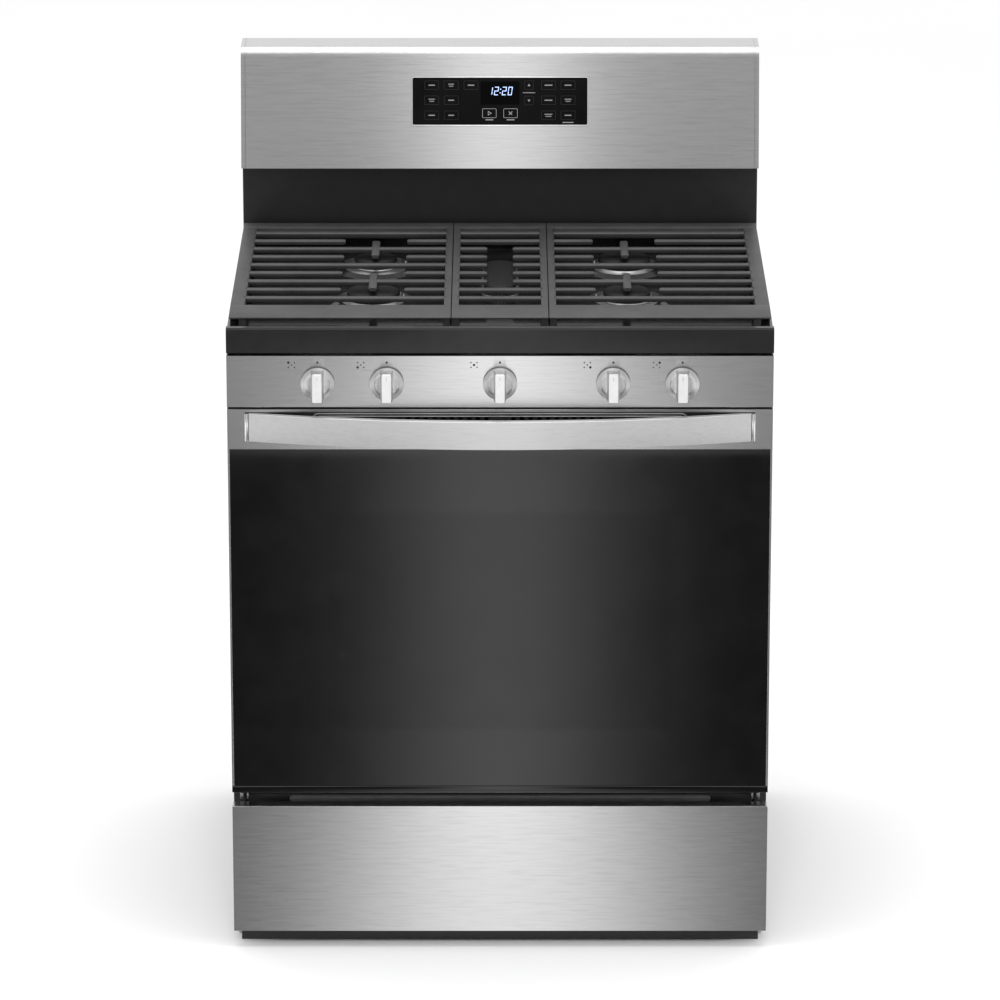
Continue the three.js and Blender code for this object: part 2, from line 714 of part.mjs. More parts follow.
// One cross bar between two rails, or its two halves when it stops short of a burner.
function crossBar(index, [x0, x1], opening) {
  const y = FIRST_BAR_Y + index * BAR_PITCH;
  const spans = [[[x0, x1], [x0, x1]]];
  if (opening) {
    const [a, b] = opening;
    spans.splice(0, 1, [[x0, a], [x0, a - 6]], [[b, x1], [b + 6, x1]]);
  }
  return spans.map(([top, bottom]) => {
    const face = polygon([
      [bottom[0], BAR_BOTTOM],
      [bottom[1], BAR_BOTTOM],
      [top[1], GRATE_TOP],
      [top[0], GRATE_TOP],
    ]);
    return facing(face, [y - BAR_WIDTH / 2, y + BAR_WIDTH / 2]);
  });
}

// Bars across two side rails and two end rails, with fingers over the burners and four feet.
function grate([x0, x1], leftRail, rightRail, openings, fingers) {
  const sideRail = [FRONT_RAIL_BACK - 2, BACK_RAIL_Y + 3];
  const height = [RAIL_BOTTOM, GRATE_TOP];
  const inside = [x0 + leftRail - 1, x1 - rightRail + 1];
  const pieces = [
    sideways(FRONT_RAIL, [x0, x1]),
    sideways(BACK_RAIL, [x0, x1]),
    box([x0, x0 + leftRail], sideRail, height),
    box([x1 - rightRail, x1], sideRail, height),
  ];
  for (let i = 0; i < BAR_COUNT; i += 1) {
    pieces.push(...crossBar(i, inside, openings[i]));
  }
  for (const [x, y] of fingers) {
    pieces.push(box([x - 5.5, x + 5.5], [y - 41, y + 41], [BAR_BOTTOM, GRATE_TOP]));
  }
  const footLeft = leftRail > 12 ? x0 + 14 : x0 + 1;
  const footRight = rightRail > 12 ? x1 - 14 : x1 - 1;
  const leg = [BASIN_FLOOR + GAP, GRATE_TOP - 3];
  for (const y of FOOT_SPANS) {
    pieces.push(box([footLeft, footLeft + 10], y, leg));
    pieces.push(box([footRight - 10, footRight], y, leg));
  }
  return join(...pieces);
}

// Counted from the front, the bars either side of each burner's middle bar stop short of it.
function sideOpenings(side) {
  const gap = onSide(side, BURNER_X - 45, BURNER_X + 45);
  return { 1: gap, 3: gap, 5: gap, 7: gap };
}

const centreOpenings = Object.fromEntries([2, 3, 4, 5, 6].map((bar) => [bar, [-18.5, 18.5]]));
const fingerRows = [FIRST_BAR_Y + 2 * BAR_PITCH, FIRST_BAR_Y + 6 * BAR_PITCH];

for (const [name, side] of [['left', -1], ['right', 1]]) {
  const rails = side < 0 ? [20, 10] : [10, 20];
  const fingers = fingerRows.map((y) => [side * BURNER_X, y]);
  const span = onSide(side, GRATE_SPLIT + 0.5, GRATE_EDGE);
  add(`grate_${name}`, grate(span, ...rails, sideOpenings(side), fingers), castIron);
}
add('grate_centre', grate([-GRATE_SPLIT + 0.5, GRATE_SPLIT - 0.5], 10, 10, centreOpenings, []), castIron);

// ---------------------------------------------------------------- backguard

// The backguard's side view: a face that leans back, a rolled top and a flat back.
function fasciaOutline(inset) {
  const r = ROLL_R - inset;
  const bottom = FASCIA_BOTTOM + inset;
  const middle = TOP - ROLL_R;
  const foot = FASCIA_FOOT + inset / Math.cos(FASCIA_TILT) + inset * Math.tan(FASCIA_TILT);
  const lean = (middle - FASCIA_BOTTOM) * Math.tan(FASCIA_TILT);
  const rollY = FASCIA_FOOT + lean + ROLL_R / Math.cos(FASCIA_TILT);
  const shape = new THREE.Shape();
  shape.moveTo(FASCIA_BACK - inset, bottom);
  shape.lineTo(FASCIA_BACK - inset, middle);
  shape.absarc(FASCIA_BACK - ROLL_R, middle, r, 0, Math.PI / 2);
  shape.absarc(rollY, middle, r, Math.PI / 2, Math.PI - FASCIA_TILT);
  shape.lineTo(foot, bottom);
  return shape;
}

// A box in the leaning face's own frame: width, depth behind the face, height up the face.
function onFascia(x, depth, height) {
  return box(x, depth, height).rotateX(-FASCIA_TILT).translate(0, FASCIA_FOOT, FASCIA_BOTTOM);
}

function backguardPanel() {
  const half = HALF_WIDTH - CAP_THICKNESS - GAP;
  const opening = [-DISPLAY_HALF - GAP, DISPLAY_HALF + GAP];
  const [low, high] = DISPLAY_SPAN;
  return cut(
    sideways(fasciaOutline(0), [-half, half], 5),
    sideways(fasciaOutline(2), [-half - 1, half + 1], 5),
    onFascia(opening, [-2, 4], [low - GAP, high + GAP]),
  );
}

function backguardRiser() {
  return cut(
    box([-HALF_WIDTH, HALF_WIDTH], [RISER_FRONT, FASCIA_BACK + 4], [COOKTOP_BOTTOM, RISER_TOP]),
    box([-HALF_WIDTH + 2, HALF_WIDTH - 2], [RISER_FRONT + 2, BACK], [COOKTOP_BOTTOM - 1, RISER_TOP - 2]),
  );
}

add('backguard_riser', backguardRiser(), enamel);
add('backguard_panel', backguardPanel(), steel);
for (const [name, side] of [['left', -1], ['right', 1]]) {
  const span = onSide(side, HALF_WIDTH - CAP_THICKNESS, HALF_WIDTH);
  add(`backguard_cap_${name}`, sideways(fasciaOutline(0), span, 5), zinc);
}
add('touch_display', onFascia([-DISPLAY_HALF, DISPLAY_HALF], [-0.6, 14], DISPLAY_SPAN), blackGlass);

export default range;
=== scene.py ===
"""A freestanding gas range: its looks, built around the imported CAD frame.

Metres, +Z up. The range faces -Y and stands on z = 0. Places come from the CAD nodes' boxes.
"""

import json
import math

import bmesh
import bpy
from mathutils import Matrix, Vector


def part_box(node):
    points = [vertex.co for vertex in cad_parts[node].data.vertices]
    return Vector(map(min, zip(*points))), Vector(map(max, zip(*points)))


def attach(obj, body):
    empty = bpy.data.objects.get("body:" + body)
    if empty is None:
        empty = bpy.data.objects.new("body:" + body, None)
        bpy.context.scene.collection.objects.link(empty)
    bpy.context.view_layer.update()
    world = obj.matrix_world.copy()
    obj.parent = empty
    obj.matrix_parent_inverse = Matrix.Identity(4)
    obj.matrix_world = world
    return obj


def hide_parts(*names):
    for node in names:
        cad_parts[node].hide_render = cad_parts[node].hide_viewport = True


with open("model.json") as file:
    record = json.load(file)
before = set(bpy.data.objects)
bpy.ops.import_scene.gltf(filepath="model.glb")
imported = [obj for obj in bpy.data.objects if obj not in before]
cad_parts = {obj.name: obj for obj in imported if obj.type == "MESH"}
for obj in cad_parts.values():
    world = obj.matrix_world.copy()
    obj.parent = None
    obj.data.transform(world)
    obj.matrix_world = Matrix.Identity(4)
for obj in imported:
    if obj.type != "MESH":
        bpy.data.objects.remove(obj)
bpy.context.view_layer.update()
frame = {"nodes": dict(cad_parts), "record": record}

MM = 0.001
nodes = frame["nodes"]


def span(node, axis):
    """The lowest and highest value of a CAD node along axis 0, 1 or 2."""
    low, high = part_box(node)
    return low[axis], high[axis]


def middle(node):
    low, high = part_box(node)
    return (low + high) / 2


def in_mm(points):
    """Points that were written in millimetres, in metres."""
    return [tuple(value * MM for value in point) for point in points]


FRONT_Y = span("drawer_front", 1)[0]
HALF_WIDTH = span("drawer_front", 0)[1]
KNOBS = [f"knob_{i}" for i in range(1, 6)]
ROUND_BURNERS = ["front_left", "front_right", "rear_left", "rear_right"]

# ---- node materials


class Shader:
    """A material's node tree with short calls for the nodes used here."""

    def __init__(self, name):
        self.material = bpy.data.materials.new(name)
        self.material.use_nodes = True
        self.tree = self.material.node_tree
        self.bsdf = self.tree.nodes["Principled BSDF"]
        self.coords = self.node("ShaderNodeTexCoord").outputs["Object"]

    def node(self, kind, inputs=(), **settings):
        """A new node with settings and, by name, the constants on its inputs."""
        made = self.tree.nodes.new(kind)
        for key, value in settings.items():
            setattr(made, key, value)
        for key, value in dict(inputs).items():
            made.inputs[key].default_value = value
        return made

    def link(self, out, socket):
        self.tree.links.new(out, socket)

    def feed(self, name, out):
        """Links an output to the shader's own socket of that name."""
        self.link(out, self.bsdf.inputs[name])

    def set(self, **values):
        """Sets constant sockets of the shader; spaces in names are written as underscores."""
        for key, value in values.items():
            self.bsdf.inputs[key.replace("_", " ")].default_value = value

    def maths(self, operation, *values):
        """The result of a math node, each of whose inputs is a number or another node's output."""
        step = self.node("ShaderNodeMath", operation=operation)
        for value, socket in zip(values, step.inputs):
            if isinstance(value, float):
                socket.default_value = value
            else:
                self.link(value, socket)
        return step.outputs["Value"]

    def split(self):
        """The object coordinates as separate X, Y and Z outputs."""
        made = self.node("ShaderNodeSeparateXYZ")
        self.link(self.coords, made.inputs["Vector"])
        return made.outputs

    def stretched(self, scale):
        """Object coordinates multiplied by scale, for patterns longer one way than another."""
        mapping = self.node("ShaderNodeMapping", {"Scale": scale})
        self.link(self.coords, mapping.inputs["Vector"])
        return mapping.outputs["Vector"]

    def noise(self, scale, detail, vector=None, roughness=0.55):
        settings = {"Scale": scale, "Detail": detail, "Roughness": roughness}
        texture = self.node("ShaderNodeTexNoise", settings)
        self.link(vector or self.coords, texture.inputs["Vector"])
        return texture.outputs["Fac"]

    def remap(self, value, low, high, start=0.3, end=0.7):
        """value between start and end, moved to between low and high."""
        limits = {"From Min": start, "From Max": end, "To Min": low, "To Max": high}
        ranged = self.node("ShaderNodeMapRange", limits)
        self.link(value, ranged.inputs["Value"])
        return ranged.outputs["Result"]

    def colours(self, value, first, second, start=0.35, end=0.65):
        """first where value is start, second where it is end, and blends between."""
        made = self.node("ShaderNodeValToRGB")
        for element, place, colour in zip(made.color_ramp.elements, (start, end), (first, second)):
            element.position = place
            element.color = (*colour, 1)
        self.link(value, made.inputs["Fac"])
        return made.outputs["Color"]

    def bump(self, height, strength, distance):
        made = self.node("ShaderNodeBump", {"Strength": strength, "Distance": distance})
        self.link(height, made.inputs["Height"])
        self.feed("Normal", made.outputs["Normal"])


def grey(value, warmth=0.0):
    return (value * (1 + warmth), value, value * (1 - warmth))


FINE_GRAIN = (9.0, 900.0, 900.0)
COARSE_GRAIN = (24.0, 420.0, 420.0)
COARSE_SHARE = 0.9
GRAIN_RANGE = (0.75, 1.15)
GRAIN_LEAN = 0.004


def brushed_steel(name, tone, roughness, spread=0.85, metallic=1.0):
    """Steel with a fine straight grain along X, which spreads light across the grain."""
    shader = Shader(name)
    streaks = shader.noise(1.0, 4.0, shader.stretched(FINE_GRAIN), 0.65)
    bands = shader.noise(1.0, 2.0, shader.stretched(COARSE_GRAIN))
    pattern = shader.maths("MULTIPLY_ADD", bands, COARSE_SHARE, streaks)
    shader.feed("Base Color", shader.colours(pattern, grey(tone * 0.96), grey(tone * 1.04), *GRAIN_RANGE))
    shader.feed("Roughness", shader.remap(pattern, roughness - 0.01, roughness + 0.01, *GRAIN_RANGE))
    shader.bump(streaks, 0.03, 0.0001)
    shader.set(Metallic=metallic, Anisotropic=spread)
    turn_across_grain(shader)
    return shader.material


def turn_across_grain(shader):
    """Points the shader's tangent across the grain, so that highlights spread that way.

    The grain's axis leans slightly, so that it isn't parallel to the faces at a panel's ends.
    """
    axis = shader.node("ShaderNodeCombineXYZ", {"X": 1.0, "Y": GRAIN_LEAN, "Z": GRAIN_LEAN})
    world = shader.node("ShaderNodeVectorTransform", vector_type="VECTOR")
    world.convert_from = "OBJECT"
    world.convert_to = "WORLD"
    shader.link(axis.outputs["Vector"], world.inputs["Vector"])
    geometry = shader.node("ShaderNodeNewGeometry")
    cross = shader.node("ShaderNodeVectorMath", operation="CROSS_PRODUCT")
    shader.link(geometry.outputs["Normal"], cross.inputs[0])
    shader.link(world.outputs["Vector"], cross.inputs[1])
    shader.feed("Tangent", cross.outputs["Vector"])


def mottled(name, tones, roughness, blotch, grain, relief, **settings):
    """A material that drifts between two tones in blotches, with a fine grain in gloss and relief.

    blotch and grain are the (scale, detail) of a noise, and relief the (strength, distance) of a bump.
    """
    shader = Shader(name)
    shader.feed("Base Color", shader.colours(shader.noise(*blotch), *tones))
    texture = shader.noise(*grain)
    shader.feed("Roughness", shader.remap(texture, *roughness))
    shader.bump(texture, *relief)
    shader.set(**settings)
    return shader.material


def coated(name, tone, roughness, speck, bump, scale, metallic=0.0, specular=0.5, warmth=0.0):
    """An even coat, such as enamel, paint or plastic, with a faint mottle and surface texture."""
    tones = (grey(tone * (1 - speck), warmth), grey(tone * (1 + speck), warmth))
    gloss = (roughness * 0.85, roughness * 1.15)
    settings = {"Metallic": metallic, "Specular_IOR_Level": specular}
    return mottled(name, tones, gloss, (scale * 0.1, 3.0), (scale, 4.0), (bump, 0.0005), **settings)


def bare_metal(name, tone, roughness, warmth=0.0):
    """Uncoated metal with a slightly grainy skin, such as a die casting or chromed wire."""
    tones = (grey(tone * 0.9, warmth), grey(tone * 1.06, warmth))
    gloss = (roughness * 0.8, roughness * 1.2)
    return mottled(name, tones, gloss, (40.0, 2.0), (700.0, 4.0), (0.08, 0.0003), Metallic=1.0)


def cast_iron_material():
    """Matt porcelain on a sand-cast surface."""
    tones = (grey(0.034), grey(0.044))
    return mottled("cast_iron", tones, (0.42, 0.6), (30.0, 3.0), (900.0, 5.0), (0.25, 0.0004), Metallic=0.0)


def glass_material(name, window=None, clear=0.0, specular=0.5):
    """Black glass; window is the (half width, low z, high z) of the part that lets light through."""
    shader = Shader(name)
    smear = shader.noise(18.0, 2.0)
    shader.feed("Roughness", shader.remap(smear, 0.03, 0.05))
    shader.feed("Base Color", shader.colours(smear, grey(0.004), grey(0.006)))
    shader.set(Specular_IOR_Level=specular)
    if window:
        shader.feed("Alpha", window_mask(shader, window, clear))
    return shader.material


WINDOW_FADE = 4 * MM


def window_mask(shader, window, clear):
    """Alpha that is 1 on the printed border and 1 - clear inside the window, with a short fade."""
    half, low, high = window
    split = shader.split()
    height = split["Z"]
    side = shader.maths("ABSOLUTE", split["X"])
    inside = shader.remap(side, 1.0, 0.0, half - WINDOW_FADE, half + WINDOW_FADE)
    above = shader.remap(height, 0.0, 1.0, low - WINDOW_FADE, low + WINDOW_FADE)
    below = shader.remap(height, 1.0, 0.0, high - WINDOW_FADE, high + WINDOW_FADE)
    product = shader.maths("MULTIPLY", shader.maths("MULTIPLY", inside, above), below)
    return shader.remap(product, 1.0, 1.0 - clear, 0.0, 1.0)


def glow_material(name, colour, strength):
    shader = Shader(name)
    flicker = shader.noise(600.0, 1.0)
    shader.feed("Emission Color", shader.colours(flicker, [c * 0.9 for c in colour], colour))
    shader.set(Emission_Strength=strength, Roughness=0.5, Base_Color=(*colour, 1))
    return shader.material


# ---- mesh helpers


def rounded(obj, width):
    """Rounds an object's edges with modifiers, after joining the corners that its faces share."""
    weld = obj.modifiers.new("join_corners", "WELD")
    weld.merge_threshold = 0.01 * MM
    bevel = obj.modifiers.new("round_edges", "BEVEL")
    bevel.width = width
    bevel.segments = 2
    bevel.limit_method = "ANGLE"
    bevel.angle_limit = math.radians(30)
    bevel.harden_normals = True
    bevel.use_clamp_overlap = True
    flat = obj.modifiers.new("keep_faces_flat", "WEIGHTED_NORMAL")
    flat.keep_sharp = True
    flat.weight = 100


def smooth(mesh, angle):
    """Smooth shading, with edges sharper than angle kept sharp."""
    for polygon in mesh.polygons:
        polygon.use_smooth = True
    mesh.set_sharp_from_angle(angle=math.radians(angle))


def new_mesh(name, bm):
    """A mesh with a bmesh's faces; the bmesh is then freed."""
    mesh = bpy.data.meshes.new(name)
    bm.to_mesh(mesh)
    bm.free()
    return mesh


def new_object(name, data):
    """An object in the scene for a mesh, a light or a camera."""
    obj = bpy.data.objects.new(name, data)
    bpy.context.scene.collection.objects.link(obj)
    return obj


def piece(name, bm, material, body, angle=35.0, replaces=()):
    """A finished mesh object that rides on a CAD body."""
    bmesh.ops.recalc_face_normals(bm, faces=bm.faces)
    mesh = new_mesh(name, bm)
    mesh.materials.append(material)
    smooth(mesh, angle)
    obj = new_object(name, mesh)
    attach(obj, body)
    if replaces:
        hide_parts(*replaces)
    return obj


def add_box(bm, low, high, bevel=0.0):
    """A box between two corners, its edges rounded by bevel."""
    low, high = Vector(low), Vector(high)
    made = bmesh.ops.create_cube(bm, size=1.0)["verts"]
    for vert in made:
        vert.co = Vector((low[i] + (vert.co[i] + 0.5) * (high[i] - low[i]) for i in range(3)))
    if bevel:
        edges = list({edge for vert in made for edge in vert.link_edges})
        bmesh.ops.bevel(bm, geom=edges, offset=bevel, segments=2, profile=0.5, affect="EDGES")


def placed(a, b, along, centre, axis):
    """A point given across and along an axis; -Y means that along runs towards the front."""
    x, y, z = centre
    if axis == "X":
        return Vector((x + along, y + a, z + b))
    if axis == "Y":
        return Vector((x + a, y + along, z + b))
    if axis == "-Y":
        return Vector((x + a, y - along, z + b))
    return Vector((x + a, y + b, z + along))


def add_lathe(bm, profile, centre, axis, segments):
    """Turns (radius, height) points about an axis through centre; radius 0 closes the end."""
    rings = []
    for radius, height in profile:
        ring = []
        for i in range(segments if radius else 1):
            turn = 2 * math.pi * i / segments
            a, b = radius * math.cos(turn), radius * math.sin(turn)
            ring.append(bm.verts.new(placed(a, b, height, centre, axis)))
        rings.append(ring)
    for lower, upper in zip(rings, rings[1:]):
        for i in range(segments):
            j = (i + 1) % segments
            if len(lower) == 1:
                bm.faces.new((lower[0], upper[i], upper[j]))
            elif len(upper) == 1:
                bm.faces.new((lower[i], lower[j], upper[0]))
            else:
                bm.faces.new((lower[i], lower[j], upper[j], upper[i]))


def join_rings(bm, rings):
    """Faces between each ring of vertices and the next, which has the same count."""
    for lower, upper in zip(rings, rings[1:]):
        for i in range(len(lower)):
            j = (i + 1) % len(lower)
            bm.faces.new((lower[i], lower[j], upper[j], upper[i]))


def add_loft(bm, rings):
    """Joins rings of points, which have the same count, into a closed skin with flat ends."""
    made = [[bm.verts.new(point) for point in ring] for ring in rings]
    join_rings(bm, made)
    bm.faces.new(made[0])
    bm.faces.new(made[-1])


def add_prism(bm, outline, low, high, axis):
    """Extrudes a closed outline: (x, z) along Y, (y, z) along X or (x, y) along Z."""
    order = {"X": (2, 0, 1), "Y": (0, 2, 1), "Z": (0, 1, 2)}[axis]
    add_loft(bm, [[[(a, b, end)[i] for i in order] for a, b in outline] for end in (low, high)])


def round_outline(x0, x1, y0, y1, r, steps=6):
    """A rectangle with round corners, as points going round once."""
    points = []
    corners = [(x1 - r, y0 + r, -90), (x1 - r, y1 - r, 0), (x0 + r, y1 - r, 90), (x0 + r, y0 + r, 180)]
    for cx, cy, start in corners:
        for i in range(steps + 1):
            angle = math.radians(start + 90 * i / steps)
            points.append((cx + r * math.cos(angle), cy + r * math.sin(angle)))
    return points


def disc_outline(x, y, r, steps=20):
    turns = [2 * math.pi * i / steps for i in range(steps)]
    return [(x + r * math.cos(turn), y + r * math.sin(turn)) for turn in turns]


# ---- materials in use

steel = brushed_steel("brushed_steel", 0.56, 0.24)
handle_steel = brushed_steel("handle_steel", 0.6, 0.4, spread=0.3, metallic=0.62)
knob_steel = brushed_steel("knob_steel", 0.74, 0.42, spread=0.0)
knob_face = coated("knob_face", 0.74, 0.35, 0.03, 0.01, 900.0, metallic=0.3)
satin_enamel = coated("satin_enamel", 0.013, 0.42, 0.1, 0.02, 500.0)
polished = bare_metal("polished_steel", 0.78, 0.12)
enamel = coated("black_enamel", 0.011, 0.1, 0.1, 0.015, 500.0, specular=0.27)
gloss_black = coated("gloss_black", 0.004, 0.06, 0.1, 0.0, 300.0)
# Lighter grey for the rail's raised bead: painted highlight for the light the bead catches, on the rail's
# own black.
bead_highlight_paint = coated("bead_highlight_paint", 0.16, 0.35, 0.1, 0.02, 500.0)
cap_enamel = coated("cap_enamel", 0.009, 0.45, 0.1, 0.05, 900.0, specular=0.14)
dark_paint = coated("dark_paint", 0.03, 0.5, 0.1, 0.12, 900.0)
iron = cast_iron_material()
aluminium = bare_metal("aluminium", 0.26, 0.38)
galvanised = bare_metal("zinc_steel", 0.42, 0.42)
brass = bare_metal("brass", 0.5, 0.35, 0.25)
plastic = coated("black_plastic", 0.012, 0.45, 0.1, 0.05, 900.0)
vent_black = coated("vent_black", 0.014, 0.5, 0.1, 0.05, 900.0, specular=0.2)
gasket = coated("gasket_fibre", 0.05, 0.9, 0.25, 0.6, 700.0)
chrome = bare_metal("chrome_wire", 0.72, 0.16)
ceramic = coated("ceramic", 0.7, 0.35, 0.04, 0.02, 600.0, warmth=0.03)
pointer_grey = coated("pointer_grey", 0.4, 0.5, 0.1, 0.02, 900.0)
ink = coated("ink", 0.012, 0.6, 0.1, 0.02, 900.0)
key_dim = coated("key_line", 0.022, 0.5, 0.1, 0.02, 900.0)
clock_black = coated("clock_black", 0.0015, 0.08, 0.1, 0.0, 60.0, specular=0.02)
key_print = glow_material("key_print", (0.22, 0.22, 0.22), 0.25)
key_bright = glow_material("key_symbol", (0.32, 0.32, 0.32), 0.4)
digit_glow = glow_material("clock_digit", (0.45, 0.58, 1.0), 1.1)
lamp_glass = glow_material("lamp_glass", (1.0, 0.86, 0.66), 1.2)
door_window = (240 * MM, 330 * MM, 650 * MM)
door_pane = glass_material("black_glass", door_window, 0.1)
inner_pane = glass_material("inner_glass", door_window, 0.85)
display_pane = glass_material("display_glass", specular=0.03)

BY_SLOT = {
    "brushed_steel": steel,
    "steel_trim": steel,
    "black_enamel": enamel,
    "dark_paint": dark_paint,
    "cast_iron": iron,
    "aluminium": aluminium,
    "zinc_steel": galvanised,
    "brass": brass,
    "black_plastic": plastic,
    "gasket_fibre": gasket,
    "chrome_wire": chrome,
    "black_glass": door_pane,
    "display_glass": display_pane,
}
EDGE_ROUNDING = {
    "black_enamel": 1.0 * MM,
    "brushed_steel": 0.5 * MM,
    "steel_trim": 0.5 * MM,
    "zinc_steel": 0.4 * MM,
    "dark_paint": 0.6 * MM,
}


def finish_cad_nodes():
    """Every CAD node gets its slot's material; those whose slot is in EDGE_ROUNDING, all but the backguard
    panel, also get lightly rounded edges.
    """
    for row in frame["record"]["subparts"]:
        obj = nodes[row["node"]]
        slot = row["material_slot"]
        obj.data.materials.clear()
        obj.data.materials.append(BY_SLOT[slot])
        if slot in EDGE_ROUNDING and row["node"] != "backguard_panel":
            rounded(obj, EDGE_ROUNDING[slot])
    nodes["door_inner_glass"].material_slots[0].material = inner_pane
    nodes["backguard_riser"].material_slots[0].material = satin_enamel


finish_cad_nodes()

# ---- more shaping helpers


def add_wire(bm, points, radius, closed=False, sides=8):
    """A round wire along points that lie in one level plane."""
    rings = []
    up = Vector((0, 0, 1))
    count = len(points)
    for i, point in enumerate(points):
        before = points[(i - 1) % count] if closed or i else point
        after = points[(i + 1) % count] if closed or i < count - 1 else point
        level = (Vector(after) - Vector(before)).normalized().cross(up)
        ring = []
        for k in range(sides):
            angle = 2 * math.pi * k / sides
            offset = level * math.cos(angle) + up * math.sin(angle)
            ring.append(bm.verts.new(Vector(point) + offset * radius))
        rings.append(ring)
    if closed:
        join_rings(bm, [*rings, rings[0]])
    else:
        join_rings(bm, rings)
        bm.faces.new(rings[0])
        bm.faces.new(rings[-1])


def add_plate(bm, outline, holes, low, high):
    """A plate facing the front, cut from an (x, z) outline with (x, z) holes, between two depths."""
    edges = []
    for loop in [outline, *holes]:
        verts = [bm.verts.new((x, low, z)) for x, z in loop]
        edges += [bm.edges.new((a, b)) for a, b in zip(verts, verts[1:] + verts[:1])]
    filled = bmesh.ops.triangle_fill(bm, use_beauty=True, edges=edges)["geom"]
    faces = [part for part in filled if isinstance(part, bmesh.types.BMFace)]
    grown = bmesh.ops.extrude_face_region(bm, geom=faces)["geom"]
    moved = [part for part in grown if isinstance(part, bmesh.types.BMVert)]
    bmesh.ops.translate(bm, vec=(0, high - low, 0), verts=moved)


def add_outline(bm, x0, x1, z0, z1, r, width, low, high):
    """A raised line of the given width round a rectangle with round corners."""
    inner = round_outline(x0 + width, x1 - width, z0 + width, z1 - width, max(r - width, 0.1 * MM), 6)
    add_plate(bm, round_outline(x0, x1, z0, z1, r, 6), [inner], low, high)


def soften(bm, width, segments=2, angle=30.0):
    """Rounds the edges that are sharper than angle."""
    bmesh.ops.recalc_face_normals(bm, faces=bm.faces)
    bm.normal_update()
    sharp = [e for e in bm.edges if e.is_manifold and e.calc_face_angle(0) > math.radians(angle)]
    options = {"segments": segments, "profile": 0.5, "affect": "EDGES", "clamp_overlap": True}
    bmesh.ops.bevel(bm, geom=sharp, offset=width, **options)


# ---- door handle

HANDLE_CORNER = 1.0 * MM
HANDLE_END = 6.0 * MM
HANDLE_THICKNESS = 11 * MM
HANDLE_LANDING = 18 * MM
HANDLE_TIP = 4.7 * MM
HANDLE_LEAST = 4.4 * MM
HANDLE_STEPS = 96
END_STRIP = 6.4 * MM
END_STRIP_ROUND = 2.8 * MM


def bow(x, half, end, mid):
    """The y of an arc at x, which is mid in the middle and end at half."""
    rise = end - mid
    radius = (half * half + rise * rise) / (2 * rise)
    return mid + radius - math.sqrt(radius * radius - x * x)


def handle():
    """The bowed brushed bar, lofted along X, with a polished strip closing each end."""
    low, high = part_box("handle_bar")
    half = high.x - HANDLE_END
    inner_half = high.x - HANDLE_LANDING
    foot = high.y
    bm = bmesh.new()
    rings = []
    for i in range(HANDLE_STEPS + 1):
        x = half * (2 * i / HANDLE_STEPS - 1)
        front = bow(x, high.x, foot - HANDLE_TIP, low.y)
        back = foot
        if abs(x) < inner_half:
            back = bow(x, inner_half, foot, low.y + HANDLE_THICKNESS)
        corner = min(HANDLE_CORNER, (back - front) / 2.2)
        section = round_outline(front, max(back, front + HANDLE_LEAST), low.z, high.z, corner, 4)
        rings.append([(x, y, z) for y, z in section])
    add_loft(bm, rings)
    piece("handle", bm, handle_steel, "oven_door", 30, ["handle_bar"])

    bm = bmesh.new()
    for side in (-1, 1):
        x0, x1 = sorted((side * high.x, side * (half + 0.2 * MM)))
        outline = round_outline(x0, x1, foot - END_STRIP, foot, END_STRIP_ROUND, 5)
        add_prism(bm, outline, low.z, high.z, "Z")
    soften(bm, 0.8 * MM)
    piece("handle_ends", bm, polished, "oven_door", 30)


# ---- knobs

BLADE_ROOT = 9.3 * MM
BLADE_FACE = 6.8 * MM
BLADE_HALF_HEIGHT = 20.5 * MM
BLADE_FLARE = 0.8 * MM
BLADE_START = 5 * MM
INSERT_MARGIN = 0.5 * MM
POINTER_HALF = 0.4 * MM
POINTER_FROM_TOP = (9.5 * MM, 4.0 * MM)
SOCKET_R = 4.2 * MM
SOCKET_DEPTH = 20 * MM


def bore_socket(obj, centre):
    """Cuts the round socket for the valve stem into a finished knob, from 1 mm behind centre."""
    x, y, z = centre
    bm = bmesh.new()
    add_prism(bm, disc_outline(x, z, SOCKET_R, 24), y - SOCKET_DEPTH, y + 1 * MM, "Y")
    bmesh.ops.recalc_face_normals(bm, faces=bm.faces)
    cutter = new_object("socket_cutter", new_mesh("socket_cutter", bm))
    cut = obj.modifiers.new("socket", "BOOLEAN")
    cut.operation = "DIFFERENCE"
    cut.solver = "EXACT"
    cut.use_self = True
    cut.object = cutter
    depsgraph = bpy.context.evaluated_depsgraph_get()
    obj.data = bpy.data.meshes.new_from_object(obj.evaluated_get(depsgraph))
    obj.modifiers.remove(cut)
    bpy.data.objects.remove(cutter)
    smooth(obj.data, 32)


